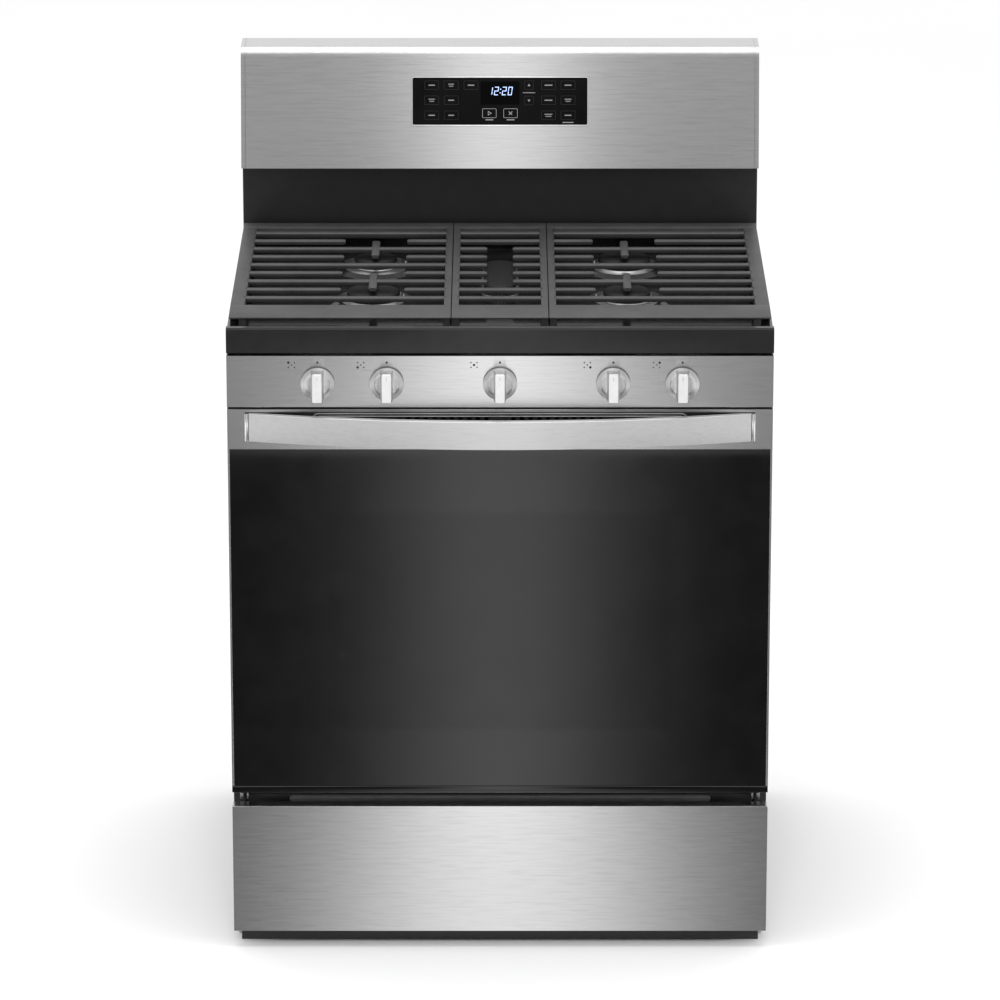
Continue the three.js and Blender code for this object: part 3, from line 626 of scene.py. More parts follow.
def knob(name):
    """A round skirt with a tall tapered grip, whose front face carries a short pointer line."""
    low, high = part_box(name)
    cx, cz = (low.x + high.x) / 2, (low.z + high.z) / 2
    centre = (cx, high.y, cz)
    body = f"control_{name}"
    bm = bmesh.new()
    r = (high.x - low.x) / 2 / MM
    skirt = [(r - 1, 0), (r - 0.2, 0.4), (r, 1.2), (r - 0.3, 2.6), (r - 1.2, 3.2), (r - 4.5, 3.7)]
    profile = in_mm([(0, 0), *skirt, (17.4, 4.8), (16.2, 7.2), (14.6, 8.2), (0, 8.4)])
    add_lathe(bm, profile, centre, "-Y", 64)
    blade = bmesh.new()
    rings = []
    root = (BLADE_ROOT, BLADE_HALF_HEIGHT + BLADE_FLARE, high.y - BLADE_START)
    for half, tall, y in (root, (BLADE_FACE, BLADE_HALF_HEIGHT, low.y)):
        section = round_outline(cx - half, cx + half, cz - tall, cz + tall, 1.6 * MM, 4)
        rings.append([(x, y, z) for x, z in section])
    add_loft(blade, rings)
    soften(blade, 1.0 * MM, 3, 60)
    join_into(bm, blade)
    grip = piece(f"{name}_grip", bm, knob_steel, body, 32, [name])
    bore_socket(grip, centre)

    bm = bmesh.new()
    half, tall = BLADE_FACE - INSERT_MARGIN, BLADE_HALF_HEIGHT - INSERT_MARGIN
    insert = round_outline(cx - half, cx + half, cz - tall, cz + tall, 1.2 * MM, 4)
    add_prism(bm, insert, low.y - 0.15 * MM, low.y + 0.3 * MM, "Y")
    piece(f"{name}_insert", bm, knob_face, body)

    bm = bmesh.new()
    foot, tip = (cz + BLADE_HALF_HEIGHT - down for down in POINTER_FROM_TOP)
    pointer = round_outline(cx - POINTER_HALF, cx + POINTER_HALF, foot, tip, 0.3 * MM, 3)
    add_prism(bm, pointer, low.y - 0.25 * MM, low.y, "Y")
    piece(f"{name}_pointer", bm, pointer_grey, body)


def join_into(bm, other):
    """Adds the faces of another bmesh, which is then freed."""
    mesh = new_mesh("spare", other)
    bm.from_mesh(mesh)
    bpy.data.meshes.remove(mesh)


# ---- panel markings

MARK_DEPTH = 0.15 * MM
MARK_HEIGHT = 864 * MM
DOT_HEIGHT = 867.5 * MM
MARK_OFFSET = 36 * MM
MARK_STEP = (4.2 * MM, 3.4 * MM)
MARK_R = 0.95 * MM
BIG_MARK_R = 1.7 * MM
DOT_R = 1.5 * MM
LIT_BURNER = dict(zip(KNOBS, ((-1, 1), (-1, -1), (0, 0), (1, -1), (1, 1))))
MAP_PLACES = [(-1, -1), (-1, 1), (0, 0), (1, -1), (1, 1)]


def panel_marks():
    """A small map of the burners beside each knob, and the dot that its pointer lines up with."""
    bm = bmesh.new()
    face = span("control_panel", 1)[0]
    for name, lit in LIT_BURNER.items():
        x = middle(name).x
        dots = [(x, DOT_HEIGHT, DOT_R, 20)]
        for place in MAP_PLACES:
            across, up = (count * step for count, step in zip(place, MARK_STEP))
            size = BIG_MARK_R if place == lit else MARK_R
            dots.append((x - MARK_OFFSET + across, MARK_HEIGHT + up, size, 16))
        for dot in dots:
            add_prism(bm, disc_outline(*dot), face - MARK_DEPTH, face + MARK_DEPTH, "Y")
    piece("panel_marks", bm, ink, "root")


# ---- door vents

VENT_PITCH = 12.06 * MM
VENT_RUNS = [(18.6 * MM, 11), (186.6 * MM, 5)]
VENT_R = 3.5 * MM
VENT_LINE = 1.1 * MM
VENT_DROP = 10 * MM
VENT_STRIP_RISE = 3.6 * MM
VENT_OUTLINES = [(261 * MM, 8.8 * MM), (256 * MM, 5.2 * MM)]


def vent_trim():
    """The black strip behind the handle, with round vents inside two raised outlines. Its black is the vent
    trim's own colour, and where it runs the handle's whole length beyond the vents it is painted shade for
    the shade and dark reflection behind the handle.
    """
    low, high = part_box("door_vent_trim")
    z = high.z - VENT_DROP
    places = [start + i * VENT_PITCH for start, count in VENT_RUNS for i in range(count)]
    holes = [disc_outline(side * x, z, VENT_R) for x in places for side in (-1, 1)]
    bm = bmesh.new()
    strip = round_outline(low.x, high.x, low.z, high.z + VENT_STRIP_RISE, 3 * MM, 4)
    # The strip's black: the trim's own colour at the vents, painted shade beyond them for the shade behind
    # the handle.
    add_plate(bm, strip, holes, low.y - 0.5 * MM, high.y)
    piece("vent_strip", bm, vent_black, "oven_door", 30, ["door_vent_trim"])
    bm = bmesh.new()
    for half, tall in VENT_OUTLINES:
        box = (-half, half, z - tall, z + tall)
        add_outline(bm, *box, tall - 0.1 * MM, VENT_LINE, low.y - 1.1 * MM, low.y - 0.2 * MM)
    soften(bm, 0.25 * MM)
    piece("vent_outline", bm, pointer_grey, "oven_door")


# ---- door and slot trim

FOOT_TRIM_HEIGHT = 10 * MM
RAIL_LEVELS = (193 * MM, 216 * MM)
RAIL_DEPTH = 2.6 * MM
BEAD_BOX = (-300 * MM, 300 * MM, 203 * MM, 213 * MM)
# How far in, and how far behind the rail's face, each outline of the bead lies, in millimetres.
BEAD_STEPS = [(0, 0.6), (0, -1.2), (1.0, -2.6), (2.6, -3.2)]
KICK_BACK = 24 * MM
KICK_LEVELS = (3 * MM, 21.8 * MM)
KICK_DEPTH = 38 * MM


def door_foot_trim():
    """The black strip along the door's lower edge."""
    low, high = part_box("door_frame")
    bm = bmesh.new()
    corner = (low.x + 0.1 * MM, low.y - 0.2 * MM, low.z)
    add_box(bm, corner, (high.x - 0.1 * MM, low.y + 3 * MM, low.z + FOOT_TRIM_HEIGHT), 0.6 * MM)
    piece("door_foot_trim", bm, gloss_black, "oven_door")


def door_top_cap():
    """The black strip over the door's top edge."""
    low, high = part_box("door_frame")
    bm = bmesh.new()
    corner = (low.x + 1 * MM, low.y + 0.8 * MM, high.z - 0.2 * MM)
    add_box(bm, corner, (high.x - 1 * MM, high.y - 1 * MM, high.z + 0.8 * MM), 0.3 * MM)
    piece("door_top_cap", bm, vent_black, "oven_door")


def slot_rail():
    """The black rail with a long raised bead, seen through the slot between door and drawer. The bead is
    painted a lighter grey than the rail, as painted highlight.
    """
    face = span("front_frame", 1)[1] - 3 * MM
    half = HALF_WIDTH - 20 * MM
    bm = bmesh.new()
    foot, top = RAIL_LEVELS
    add_box(bm, (-half, face, foot), (half, face + RAIL_DEPTH, top), 0.4 * MM)
    piece("slot_rail", bm, satin_enamel, "root")
    bm = bmesh.new()
    rings = []
    x0, x1, z0, z1 = BEAD_BOX
    for inset, depth in BEAD_STEPS:
        grow = inset * MM
        outline = round_outline(x0 + grow, x1 - grow, z0 + grow, z1 - grow, (z1 - z0) / 2 - grow)
        rings.append([(x, face + depth * MM, z) for x, z in outline])
    add_loft(bm, rings)
    # The bead's lighter grey is painted highlight.
    piece("slot_bead", bm, bead_highlight_paint, "root")


def toe_kick_painted_shade():
    """The folded strip that closes the gap under the drawer, hung from the base frame; its near-black ink
    is painted shade for the shadow under the drawer.
    """
    half = HALF_WIDTH - 10 * MM
    inner = HALF_WIDTH - 44 * MM
    face = FRONT_Y + KICK_BACK
    foot, top = KICK_LEVELS
    bm = bmesh.new()
    add_box(bm, (-half, face, foot), (half, face + 2 * MM, top), 0.5 * MM)
    add_box(bm, (-inner, face + 1 * MM, top - 1.8 * MM), (inner, face + KICK_DEPTH, top), 0.4 * MM)
    # Near-black ink on a real folded strip: painted shade for the shadow under the drawer.
    piece("toe_kick_painted_shade", bm, ink, "root")


# ---- grates

BAR_PITCH = 45.7 * MM
BAR_COUNT = 9
FIRST_BAR = 137.5 * MM
BAR_TOP_HALF = 6 * MM
BAR_FOOT_HALF = 4.6 * MM
BAR_ROUND = 2.6 * MM
BAR_HEIGHT = 6.5 * MM
RAIL_HEIGHT = 16.4 * MM
FINGER_REACH = 41 * MM
WIDE_RAIL = 20 * MM
NARROW_RAIL = 10 * MM
FOOT_INSET = 14 * MM
FOOT_SIZE = (10 * MM, 12 * MM)
FOOT_PLACES = (45 * MM, 545 * MM)
SIDE_RAIL = (92 * MM, 530 * MM)
# Sections in millimetres, as (depth from the range's front, height from the grate's top).
LIP = [(37, -4.6), (37, -3), (40, -1.4), (90, 0), (94, 0), (94, -16.4), (82, -16.4), (72, -7), (38, -5.6)]
BACK_RAIL = [(527, -16.4), (527, 0), (556, 0), (562, -5), (562, -16.4)]
BAR_TIP = 3 * MM
BAR_SINK = 0.1 * MM
OPEN_TIP = 0.72
FINGER_TIP = 0.75
FINGER_ROWS = (2, 6)
BURNER_GAP = 45 * MM
CENTRE_GAP = 18.5 * MM


def bar_section():
    """A cast bar's section about its middle: rounded along the top and narrower at the foot."""
    top = BAR_HEIGHT / 2
    points = [(-BAR_FOOT_HALF, -top), (BAR_FOOT_HALF, -top)]
    for side, start in ((1, 0), (-1, 90)):
        for i in range(6):
            angle = math.radians(start + 90 * i / 5)
            a = side * (BAR_TOP_HALF - BAR_ROUND) + BAR_ROUND * math.cos(angle)
            points.append((a, top - BAR_ROUND + BAR_ROUND * math.sin(angle)))
    return points


def add_bar(bm, axis, start, end, place, top, tips):
    """A cross bar along X or a finger along Y; tips are the shares its ends are drawn in to."""
    level = top - BAR_HEIGHT / 2
    stations = [(start, tips[0]), (end, tips[1])]
    if tips[0] < 1:
        stations.insert(1, (start + BAR_TIP, 1))
    if tips[1] < 1:
        stations.insert(-1, (end - BAR_TIP, 1))
    rings = []
    for at, share in stations:
        section = [(place + a * share, level + b * share) for a, b in bar_section()]
        rings.append([(at, a, b) if axis == "X" else (a, at, b) for a, b in section])
    add_loft(bm, rings)


def grate(node, body, rails, openings, finger_x):
    """Cast bars between two side rails, a wide sloping front lip and a back rail, on four feet."""
    low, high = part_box(node)
    top = high.z
    bm = bmesh.new()
    for outline in (LIP, BACK_RAIL):
        points = [(FRONT_Y + y, top + z) for y, z in in_mm(outline)]
        add_prism(bm, points, low.x, high.x, "X")
    front, back = (FRONT_Y + y for y in SIDE_RAIL)
    for x0, x1 in ((low.x, low.x + rails[0]), (high.x - rails[1], high.x)):
        add_box(bm, (x0, front, top - RAIL_HEIGHT), (x1, back, top - 0.1 * MM))
    wide, deep = FOOT_SIZE
    left, right = [FOOT_INSET if rail > NARROW_RAIL else 1 * MM for rail in rails]
    for y in FOOT_PLACES:
        for x in (low.x + left, high.x - right - wide):
            add_box(bm, (x, FRONT_Y + y, low.z), (x + wide, FRONT_Y + y + deep, top - 3 * MM))
    soften(bm, 1.6 * MM, 3)
    x0, x1 = low.x + rails[0] - 2 * MM, high.x - rails[1] + 2 * MM
    rows = [FRONT_Y + FIRST_BAR + i * BAR_PITCH for i in range(BAR_COUNT)]
    bars = bmesh.new()
    for i, y in enumerate(rows):
        if i in openings:
            gap = openings[i]
            add_bar(bars, "X", x0, gap[0], y, top - BAR_SINK, (1, OPEN_TIP))
            add_bar(bars, "X", gap[1], x1, y, top - BAR_SINK, (OPEN_TIP, 1))
        else:
            add_bar(bars, "X", x0, x1, y, top - BAR_SINK, (1, 1))
    for x in finger_x:
        for row in FINGER_ROWS:
            ends = (rows[row] - FINGER_REACH, rows[row] + FINGER_REACH)
            add_bar(bars, "Y", *ends, x, top, (FINGER_TIP, FINGER_TIP))
    join_into(bm, bars)
    piece(f"{node}_casting", bm, iron, body, 42, [node])


def grates():
    """Two wide grates with fingers over their burners, and a narrow one over the long burner."""
    burner_x = middle("burner_cap_front_right").x
    for side, name in ((-1, "left"), (1, "right")):
        gap = sorted((side * (burner_x - BURNER_GAP), side * (burner_x + BURNER_GAP)))
        rails = (WIDE_RAIL, NARROW_RAIL)[::-side]
        openings = {row: gap for row in (1, 3, 5, 7)}
        grate(f"grate_{name}", f"{name}_grate", rails, openings, [side * burner_x])
    gap = (-CENTRE_GAP, CENTRE_GAP)
    rails = (NARROW_RAIL, NARROW_RAIL)
    grate("grate_centre", "centre_grate", rails, {row: gap for row in range(2, 7)}, [])


# ---- touch display

FACE_LEAN = math.radians(10.8)
FACE_FOOT = Vector((0, span("backguard_panel", 1)[0], span("backguard_panel", 2)[0]))
FACE = Matrix.Translation(FACE_FOOT) @ Matrix.Rotation(-FACE_LEAN, 4, "X")
KEY_FACE = -0.6 * MM
KEY_PROUD = 0.12 * MM
KEY_LINE = 0.35 * MM
BRIGHT_LINE = 0.45 * MM
KEY_ROWS = (122 * MM, 100 * MM, 78 * MM)
KEY_COLUMNS = (-100 * MM, -71.5 * MM, 71 * MM, 99.6 * MM)
KEY_SIZE = (21 * MM, 13 * MM)
EXTRA_KEYS = [(-42.5 * MM, 122 * MM)]
ARROW_KEYS = [(42.5 * MM, 122 * MM, 1), (42.5 * MM, 99.6 * MM, -1)]
ARROW_KEY_SIZE = (13 * MM, 13 * MM)
START_KEY = (-15.6 * MM, 81 * MM)
STOP_KEY = (15.4 * MM, 81 * MM)
MAIN_KEY_SIZE = (20.6 * MM, 13.7 * MM)
WORD_LENGTHS = (9.5, 8.5, 11.5, 10.0)
DISPLAY_BOX = (-128 * MM, 128 * MM, 64 * MM, 133 * MM)
BEZEL_BOX = (-130 * MM, 130 * MM, 62 * MM, 135 * MM)
CLOCK_BOX = (-28.5 * MM, 28.5 * MM, 93.5 * MM, 127.5 * MM)
# The clock's digits, in millimetres.
CLOCK_DIGITS = "1220"
CLOCK_PLACES = (-13.9, -5.2, 6.3, 14.9)
CLOCK_HEIGHT = 113.5
CLOCK_SLANT = math.tan(math.radians(8))
DIGIT_HALF = 2.5
DIGIT_HALF_HEIGHT = 5.6
DIGIT_LINE = 0.5
DIGIT_GAP = 0.3
COLON_R = 0.8
COLON_PLACE = 0.6
COLON_HALF = 2.6
SEGMENTS = {"0": "abcdef", "1": "bc", "2": "abged"}


def on_face(bm):
    """Moves a bmesh drawn on the upright plane y = 0 onto the backguard's leaning face."""
    bmesh.ops.transform(bm, matrix=FACE, verts=bm.verts)
    return bm


def add_print(bm, outline, lift=0.0):
    """A flat mark standing just proud of the display."""
    add_prism(bm, outline, KEY_FACE - KEY_PROUD - lift, KEY_FACE, "Y")


def key_outline(bm, x, z, wide, tall, line=KEY_LINE, r=1.2 * MM):
    box = (x - wide / 2, x + wide / 2, z - tall / 2, z + tall / 2)
    add_outline(bm, *box, r, line, KEY_FACE - KEY_PROUD, KEY_FACE)


def stroke(bm, x, z, length, thick=1.1 * MM):
    box = (x - length / 2, x + length / 2, z - thick / 2, z + thick / 2)
    add_print(bm, round_outline(*box, thick * 0.3, 2))


def display_keys():
    """Touch keys drawn as thin outlines, with short generic strokes where words would be."""
    frames, labels, bright = bmesh.new(), bmesh.new(), bmesh.new()
    places = [(x, z) for z in KEY_ROWS for x in KEY_COLUMNS] + EXTRA_KEYS
    for number, (x, z) in enumerate(places):
        key_outline(frames, x, z, *KEY_SIZE)
        length = WORD_LENGTHS[number % 4] * MM
        if number % 3 == 1:
            stroke(labels, x, z + 1.5 * MM, length)
            stroke(labels, x, z - 1.5 * MM, length * 0.75)
        else:
            stroke(labels, x, z, length, 1.5 * MM)
    for x, z, way in ARROW_KEYS:
        key_outline(frames, x, z, *ARROW_KEY_SIZE)
        foot = z - way * 1.3 * MM
        add_print(labels, [(x - 2.2 * MM, foot), (x + 2.2 * MM, foot), (x, z + way * 2 * MM)])
    stroke(labels, ARROW_KEYS[0][0], 111 * MM, 18 * MM, 1.0 * MM)
    stroke(labels, KEY_COLUMNS[-1], 67.5 * MM, 16 * MM, 1.3 * MM)
    for x, z in (START_KEY, STOP_KEY):
        key_outline(bright, x, z, *MAIN_KEY_SIZE, BRIGHT_LINE, 1.6 * MM)
        stroke(labels, x, z - 9.6 * MM, 11.5 * MM, 1.5 * MM)
    x, z = START_KEY
    corners = [(x - 2 * MM, z - 3.2 * MM), (x + 3.4 * MM, z), (x - 2 * MM, z + 3.2 * MM)]
    inside = [(x + (a - x) * 0.7, z + (b - z) * 0.7) for a, b in corners]
    add_plate(bright, corners, [inside], KEY_FACE - KEY_PROUD, KEY_FACE)
    for way in (-1, 1):
        bar = round_outline(-3.4 * MM, 3.4 * MM, -0.4 * MM, 0.4 * MM, 0.15 * MM, 2)
        turn = Matrix.Rotation(math.radians(45 * way), 2)
        add_print(bright, [turn @ Vector(point) + Vector(STOP_KEY) for point in bar], 0.01 * MM * way)
    piece("key_frames", on_face(frames), key_dim, "root")
    piece("key_labels", on_face(labels), key_print, "root")
    piece("key_symbols", on_face(bright), key_bright, "root")


def clock():
    """The clock's darker window, and four leaning seven-segment digits with a colon."""
    window = bmesh.new()
    add_prism(window, round_outline(*CLOCK_BOX, 1.0 * MM, 4), KEY_FACE - 0.06 * MM, KEY_FACE, "Y")
    piece("clock_window", on_face(window), clock_black, "root")
    half, tall = DIGIT_HALF, DIGIT_HALF_HEIGHT
    bars = {
        "a": (-half, half, tall, tall),
        "g": (-half, half, 0, 0),
        "d": (-half, half, -tall, -tall),
        "b": (half, half, 0, tall),
        "c": (half, half, -tall, 0),
        "f": (-half, -half, 0, tall),
        "e": (-half, -half, -tall, 0),
    }
    lit = []
    for digit, place in zip(CLOCK_DIGITS, CLOCK_PLACES):
        for segment in SEGMENTS[digit]:
            x0, x1, z0, z1 = bars[segment]
            ends = DIGIT_LINE if x0 != x1 else -DIGIT_GAP
            box = (x0 - DIGIT_LINE, x1 + DIGIT_LINE, z0 - ends, z1 + ends)
            points = round_outline(*box, DIGIT_LINE, 3)
            lit.append([(place + x + z * CLOCK_SLANT, z) for x, z in points])
    for z in (-COLON_HALF, COLON_HALF):
        lit.append(disc_outline(COLON_PLACE + z * CLOCK_SLANT, z, COLON_R, 12))
    digits = bmesh.new()
    for outline in lit:
        points = [(x * MM, (CLOCK_HEIGHT + z) * MM) for x, z in outline]
        add_prism(digits, points, KEY_FACE - 0.14 * MM, KEY_FACE - 0.05 * MM, "Y")
    piece("clock_digits", on_face(digits), digit_glow, "root")


def display_panel():
    """The black glass panel with round corners, and the thin bright edge of the opening round it."""
    bm = bmesh.new()
    add_prism(bm, round_outline(*DISPLAY_BOX, 2.6 * MM, 5), KEY_FACE, 4 * MM, "Y")
    piece("display_plate", on_face(bm), display_pane, "root", 30, ["touch_display"])
    bm = bmesh.new()
    add_outline(bm, *BEZEL_BOX, 4.2 * MM, 2.1 * MM, -0.9 * MM, 0.3 * MM)
    soften(bm, 0.35 * MM)
    piece("display_bezel", on_face(bm), polished, "root")


# ---- burners

PORT_COUNT = 32
PORT_DEPTH = 2.2 * MM
THROAT_R = 29 * MM
HEAD_HEIGHT = 12 * MM


def crown_ring(radius, notch):
    """A ring of points whose radius steps in at every port."""
    points = []
    steps = PORT_COUNT * 4
    for i in range(steps):
        angle = 2 * math.pi * i / steps
        r = radius - (notch if i % 4 >= 2 else 0)
        points.append((r * math.cos(angle), r * math.sin(angle)))
    return points


def burner(name):
    """A die-cast head with a ring of flame ports, its enamelled cap and its spark electrode."""
    low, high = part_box(f"burner_head_{name}")
    cap_low, cap_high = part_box(f"burner_cap_{name}")
    centre = middle(f"burner_head_{name}")
    radius = (cap_high.x - cap_low.x) / 2 - 1 * MM
    flange = (high.x - low.x) / 2
    foot = high.z - HEAD_HEIGHT
    neck = radius - 1 * MM
    rim = radius + 2.4 * MM
    levels = [
        (THROAT_R, low.z, 0),
        (THROAT_R, foot, 0),
        (flange, foot, 0),
        (flange, foot + 2.2 * MM, 0),
        (flange - 1.5 * MM, foot + 3 * MM, 0),
        (radius + 3.4 * MM, foot + 4.6 * MM, 0),
        (radius + 2.2 * MM, foot + 6 * MM, 0),
        (neck, foot + 6.6 * MM, 0),
        (neck, foot + 6.8 * MM, PORT_DEPTH),
        (neck, high.z - 1.3 * MM, PORT_DEPTH),
        (neck, high.z - 1.1 * MM, 0),
        (rim, high.z - 0.9 * MM, 0),
        (rim, high.z, 0),
    ]
    bm = bmesh.new()
    rings = []
    for r, z, notch in levels:
        rings.append([(centre.x + x, centre.y + y, z) for x, y in crown_ring(r, notch)])
    add_loft(bm, rings)
    piece(f"burner_crown_{name}", bm, aluminium, "root", 28, [f"burner_head_{name}"])

    bm = bmesh.new()
    r = radius / MM
    edge = [(r - 0.6, 0), (r + 0.5, 0.5), (r + 1, 1.6), (r + 0.6, 3), (r - 0.8, 4.4), (r - 3, 5.3)]
    top = [(r - 7, 5.8), (r - 9, 5.7), (r - 10, 5.95), (r * 0.3, 6.4), (0, 6.5)]
    lid = in_mm([(0, 0), *edge, *top])
    add_lathe(bm, lid, (centre.x, centre.y, cap_low.z), "Z", 72)
    piece(f"burner_lid_{name}", bm, cap_enamel, "root", 40, [f"burner_cap_{name}"])

    bm = bmesh.new()
    side = -1 if centre.x > 0 else 1
    spot = (centre.x + side * (flange - 1.8 * MM), centre.y, foot + 1 * MM)
    tip = [(0, 0), (2.6, 0), (2.6, 6), (2.0, 7), (0.8, 7.2), (0.7, 10), (0, 10.3)]
    add_lathe(bm, in_mm(tip), spot, "Z", 20)
    piece(f"igniter_{name}", bm, ceramic, "root")


def stadium(half, length, centre, steps=20):
    """A long round-ended outline in plan."""
    straight = length - half
    points = []
    for end, start in ((1, 0), (-1, 180)):
        for i in range(steps + 1):
            angle = math.radians(start + 180 * i / steps)
            x, y = half * math.cos(angle), half * math.sin(angle)
            points.append((centre.x + x, centre.y + end * straight + y))
    return points


def long_burner():
    """The long burner in the middle: its die-cast head, enamelled cap and row of ports, the ports drawn as
    black pegs of painted shade.
    """
    low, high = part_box("burner_head_centre")
    cap_low, cap_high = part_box("burner_cap_centre")
    centre = middle("burner_cap_centre")
    half = (cap_high.x - cap_low.x) / 2
    length = (cap_high.y - cap_low.y) / 2
    foot = high.z - HEAD_HEIGHT
    neck = -4 * MM

    def rings(levels):
        outlines = [(stadium(half + grow, length + grow, centre), z) for z, grow in levels]
        return [[(x, y, z) for x, y in outline] for outline, z in outlines]

    bm = bmesh.new()
    flange = [(foot + z, grow) for grow, z in in_mm([(4, 0), (4, 3), (3, 3.8), (-2.5, 4.6)])]
    rim = [(high.z + z, grow) for grow, z in in_mm([(-2.5, -1.4), (1.6, -1), (1.6, 0)])]
    levels = [(low.z, neck), (foot, neck), *flange, *rim]
    add_loft(bm, rings(levels))
    piece("burner_crown_centre", bm, aluminium, "root", 28, ["burner_head_centre"])
    bm = bmesh.new()
    lid = [(-0.6, 0), (0, 0.8), (0, 2.8), (-0.8, 4.2), (-2.6, 5.2), (-6, 5.8)]
    levels = [(cap_low.z + z, grow) for grow, z in in_mm(lid)]
    add_loft(bm, rings([*levels, (cap_high.z, -14 * MM)]))
    piece("burner_lid_centre", bm, cap_enamel, "root", 40, ["burner_cap_centre"])
    # Near-black pegs standing just proud of the crown's side: painted shade for the port holes.
    bm = bmesh.new()
    port = in_mm([(0, 0), (0.9, 0), (0.9, 4.6), (0, 4.6)])
    for x, y in stadium(half - 2.3 * MM, length - 2.3 * MM, centre, 14):
        add_lathe(bm, port, (x, y, foot + 5.4 * MM), "Z", 8)
    piece("burner_port_shade_centre", bm, ink, "root")


# ---- oven racks

RACK_RIM_R = 2.9 * MM
RACK_WIRE_R = 1.6 * MM
RACK_WIRES = 25
ROD_INSET = 2.2 * MM
ROD_R = 2.4 * MM
ROD_SHARES = (0.3, 0.7)


def wire_rack(node, body):
    """A chromed rack: a round rim, cross rods under it and close wires from front to back."""
    low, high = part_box(node)
    level = low.z + 2.5 * MM + RACK_RIM_R
    x0, x1, y0, y1 = low.x + RACK_RIM_R, high.x - RACK_RIM_R, low.y + RACK_RIM_R, high.y - RACK_RIM_R
    bm = bmesh.new()
    rim = round_outline(x0, x1, y0, y1, 14 * MM)
    add_wire(bm, [(x, y, level) for x, y in rim], RACK_RIM_R, closed=True, sides=10)
    rod_level = level - 2.2 * MM
    for share in ROD_SHARES:
        y = low.y + share * (high.y - low.y)
        add_wire(bm, [(x0 + ROD_INSET, y, rod_level), (x1 - ROD_INSET, y, rod_level)], ROD_R)
    for i in range(1, RACK_WIRES + 1):
        x = x0 + (x1 - x0) * i / (RACK_WIRES + 1)
        top = high.z - RACK_WIRE_R
        add_wire(bm, [(x, y0, top), (x, y1, top)], RACK_WIRE_R, sides=6)
    piece(f"{node}_wires", bm, chrome, body, 50, [node])


# ---- small fittings

# Turned profiles are in millimetres.
SCREW_HEAD = [(0, 0), (4.2, 0), (4.2, 0.8), (3.36, 1.5), (1.47, 1.9), (0, 1.9)]
SCREW_SHARES = (0.03, 0.28, 0.53, 0.78, 0.985)
SCREW_PLACES = (-0.22, 0.0, 0.22)


def rear_screws():
    """Pan-head screws round the rear panel."""
    low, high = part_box("rear_panel")
    tall = high.z - low.z
    sides = (low.x + 10 * MM, high.x - 10 * MM)
    spots = [(x, low.z + tall * share) for x in sides for share in SCREW_SHARES]
    spots += [(x, z) for x in SCREW_PLACES for z in (low.z + 10 * MM, high.z - 12 * MM)]
    bm = bmesh.new()
    for x, z in spots:
        add_lathe(bm, in_mm(SCREW_HEAD), (x, high.y - 0.1 * MM, z), "Y", 20)
    piece("rear_screws", bm, galvanised, "root")


CLIPS = [(367.5 * MM, 4.6 * MM), (359 * MM, 2.6 * MM)]
CLIP_DEPTHS = (32 * MM, 49.8 * MM)
CLIP_LEVELS = (213 * MM, 222.5 * MM)


def hinge_clips():
    """Bent steel tabs either side of each hinge, seen in the slot between door and drawer."""
    bm = bmesh.new()
    for side in (-1, 1):
        for x, wide in CLIPS:
            low = (side * x - wide / 2, FRONT_Y + CLIP_DEPTHS[0], CLIP_LEVELS[0])
            high = (side * x + wide / 2, FRONT_Y + CLIP_DEPTHS[1], CLIP_LEVELS[1])
            add_box(bm, low, high, 0.5 * MM)
    piece("hinge_clips", bm, galvanised, "root")


OVEN_LIGHT = 2.0
LAMP_SHAPE = [(0, 0), (24, 0), (24, 3), (20, 7), (10, 10), (0, 11)]
LAMP_BACK = 0.1
LAMP_DROP = 0.07
BULB_REACH = 0.05


def oven_lamp():
    """A round glass lamp cover high on the oven's left wall, and the bulb's own light."""
    low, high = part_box("oven_cavity")
    place = Vector((low.x + 1.6 * MM, middle("oven_cavity").y + LAMP_BACK, high.z - LAMP_DROP))
    bm = bmesh.new()
    add_lathe(bm, in_mm(LAMP_SHAPE), place, "X", 40)
    piece("lamp_cover", bm, lamp_glass, "root")
    bulb = bpy.data.lights.new("oven_bulb", "POINT")
    bulb.energy = OVEN_LIGHT
    bulb.shadow_soft_size = 0.02
    new_object("oven_bulb", bulb).location = place + Vector((BULB_REACH, 0, 0))


handle()
for name in KNOBS:
    knob(name)
panel_marks()
vent_trim()
door_foot_trim()
door_top_cap()
slot_rail()
toe_kick_painted_shade()
grates()
display_panel()
display_keys()
clock()
for name in ROUND_BURNERS:
    burner(name)
long_burner()
wire_rack("rack_lower", "lower_rack")
wire_rack("rack_upper", "upper_rack")
rear_screws()
hinge_clips()
oven_lamp()

# ---- stage

CAMERA_REACH = 7.751
CAMERA_HEIGHT = 3.047
CAMERA_PITCH = 17.06
LENS = 209.2
WORLD_LIGHT = 1.06
FLOOR_SIZE = 120.0
CARD_WIDTH = 2.4
CARD_LIFT = 0.004


def soft_light(name, location, target, wide, tall, power, glossy=True):
    """A rectangular area light that faces target."""
    light = bpy.data.lights.new(name, "AREA")
    light.shape = "RECTANGLE"
    light.size = wide
    light.size_y = tall
    light.energy = power
    obj = new_object(name, light)
    obj.location = location
    obj.rotation_euler = (Vector(target) - Vector(location)).to_track_quat("-Z", "Y").to_euler()
    obj.visible_camera = False
    obj.visible_glossy = glossy


def staged_sheet(name, wide, tall, material):
    """A level rectangle of the stage, which isn't part of the range."""
    bm = bmesh.new()
    bmesh.ops.create_grid(bm, x_segments=1, y_segments=1, size=1.0)
    bmesh.ops.scale(bm, vec=(wide / 2, tall / 2, 1), verts=bm.verts)
    mesh = new_mesh(name, bm)
    mesh.materials.append(material)
    sheet = new_object(name, mesh)
    return sheet


def pale_floor():
    shader = Shader("floor_paint")
    shader.feed("Base Color", shader.colours(shader.noise(0.7, 2.0), grey(0.9), grey(0.92)))
    shader.set(Roughness=0.9, Specular_IOR_Level=0.1)
    staged_sheet("floor", FLOOR_SIZE, FLOOR_SIZE, shader.material)


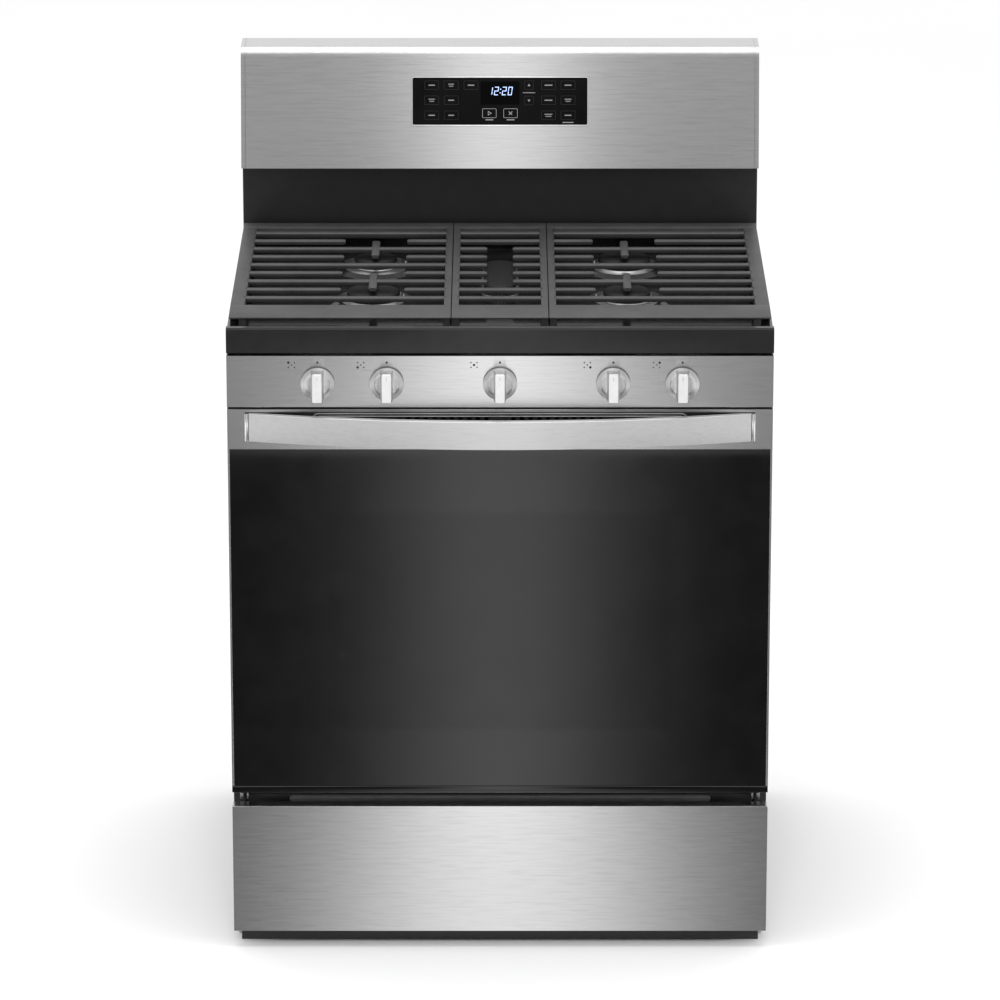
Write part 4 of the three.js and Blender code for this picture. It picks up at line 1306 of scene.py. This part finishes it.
def reflector(name, wide, tall, bright, dark, spread, fan=0.0):
    """A panel seen only in glossy surfaces: bright along its middle, falling off as a bell curve.

    The curve is spread metres wide at local y = 0 and widens by fan for every metre towards -y.
    """
    shader = Shader(f"{name}_light")
    split = shader.split()
    width_here = shader.maths("MULTIPLY_ADD", split["Y"], -fan, spread)
    across = shader.maths("DIVIDE", split["X"], width_here)
    exponent = shader.maths("MULTIPLY", shader.maths("MULTIPLY", across, across), -0.5)
    bell = shader.maths("POWER", math.e, exponent)
    glow = shader.node("ShaderNodeEmission")
    shader.link(shader.maths("MULTIPLY_ADD", bell, bright - dark, dark), glow.inputs["Strength"])
    output = shader.tree.nodes["Material Output"]
    shader.link(glow.outputs["Emission"], output.inputs["Surface"])
    card = staged_sheet(name, wide, tall, shader.material)
    for ray in ("camera", "diffuse", "shadow", "transmission", "volume_scatter"):
        setattr(card, f"visible_{ray}", False)
    return card


def floor_reflector(name, near, far, bright, dark, spread):
    """A reflector on the floor in front of the range, fanned so that its edges look upright there."""
    centre = (near + far) / 2
    fan = spread / CAMERA_REACH
    card = reflector(name, CARD_WIDTH, far - near, bright, dark, spread + fan * centre, fan)
    card.location = (0, FRONT_Y - centre, CARD_LIFT)


def studio():
    """White surroundings, three reflectors on the floor and one standing, and two soft lights."""
    scene = bpy.context.scene
    world = bpy.data.worlds.new("studio")
    world.use_nodes = True
    background = world.node_tree.nodes["Background"]
    background.inputs["Color"].default_value = (1, 1, 1, 1)
    background.inputs["Strength"].default_value = WORLD_LIGHT
    scene.world = world
    scene.view_settings.view_transform = "Standard"
    pale_floor()
    floor_reflector("near_reflector", 0.01, 0.62, 1.28, 0.07, 0.185)
    floor_reflector("middle_reflector", 0.62, 2.45, 1.62, 0.06, 0.125)
    floor_reflector("far_reflector", 2.45, 8.0, 1.7, 0.03, 0.26)
    upper = reflector("upper_reflector", 6.0, 3.08, 1.5, 0.48, 0.09)
    upper.location = (0, FRONT_Y - 1.0, 2.16)
    upper.rotation_euler = (math.radians(90), 0, 0)
    soft_light("top_light", (0, -0.2, 3.6), (0, 0, 0.9), 2.4, 1.6, 45)
    soft_light("front_light", (0, -4.2, 3.4), (0, -0.3, 0.5), 1.0, 1.6, 40, glossy=False)


def camera():
    """A long lens looking slightly down at the middle of the front."""
    data = bpy.data.cameras.new("camera")
    data.sensor_width = 36
    data.lens = LENS
    data.clip_end = 200
    obj = new_object("camera", data)
    obj.location = (0, FRONT_Y - CAMERA_REACH, CAMERA_HEIGHT)
    obj.rotation_euler = (math.radians(90 - CAMERA_PITCH), 0, 0)
    bpy.context.scene.camera = obj


camera()
studio()
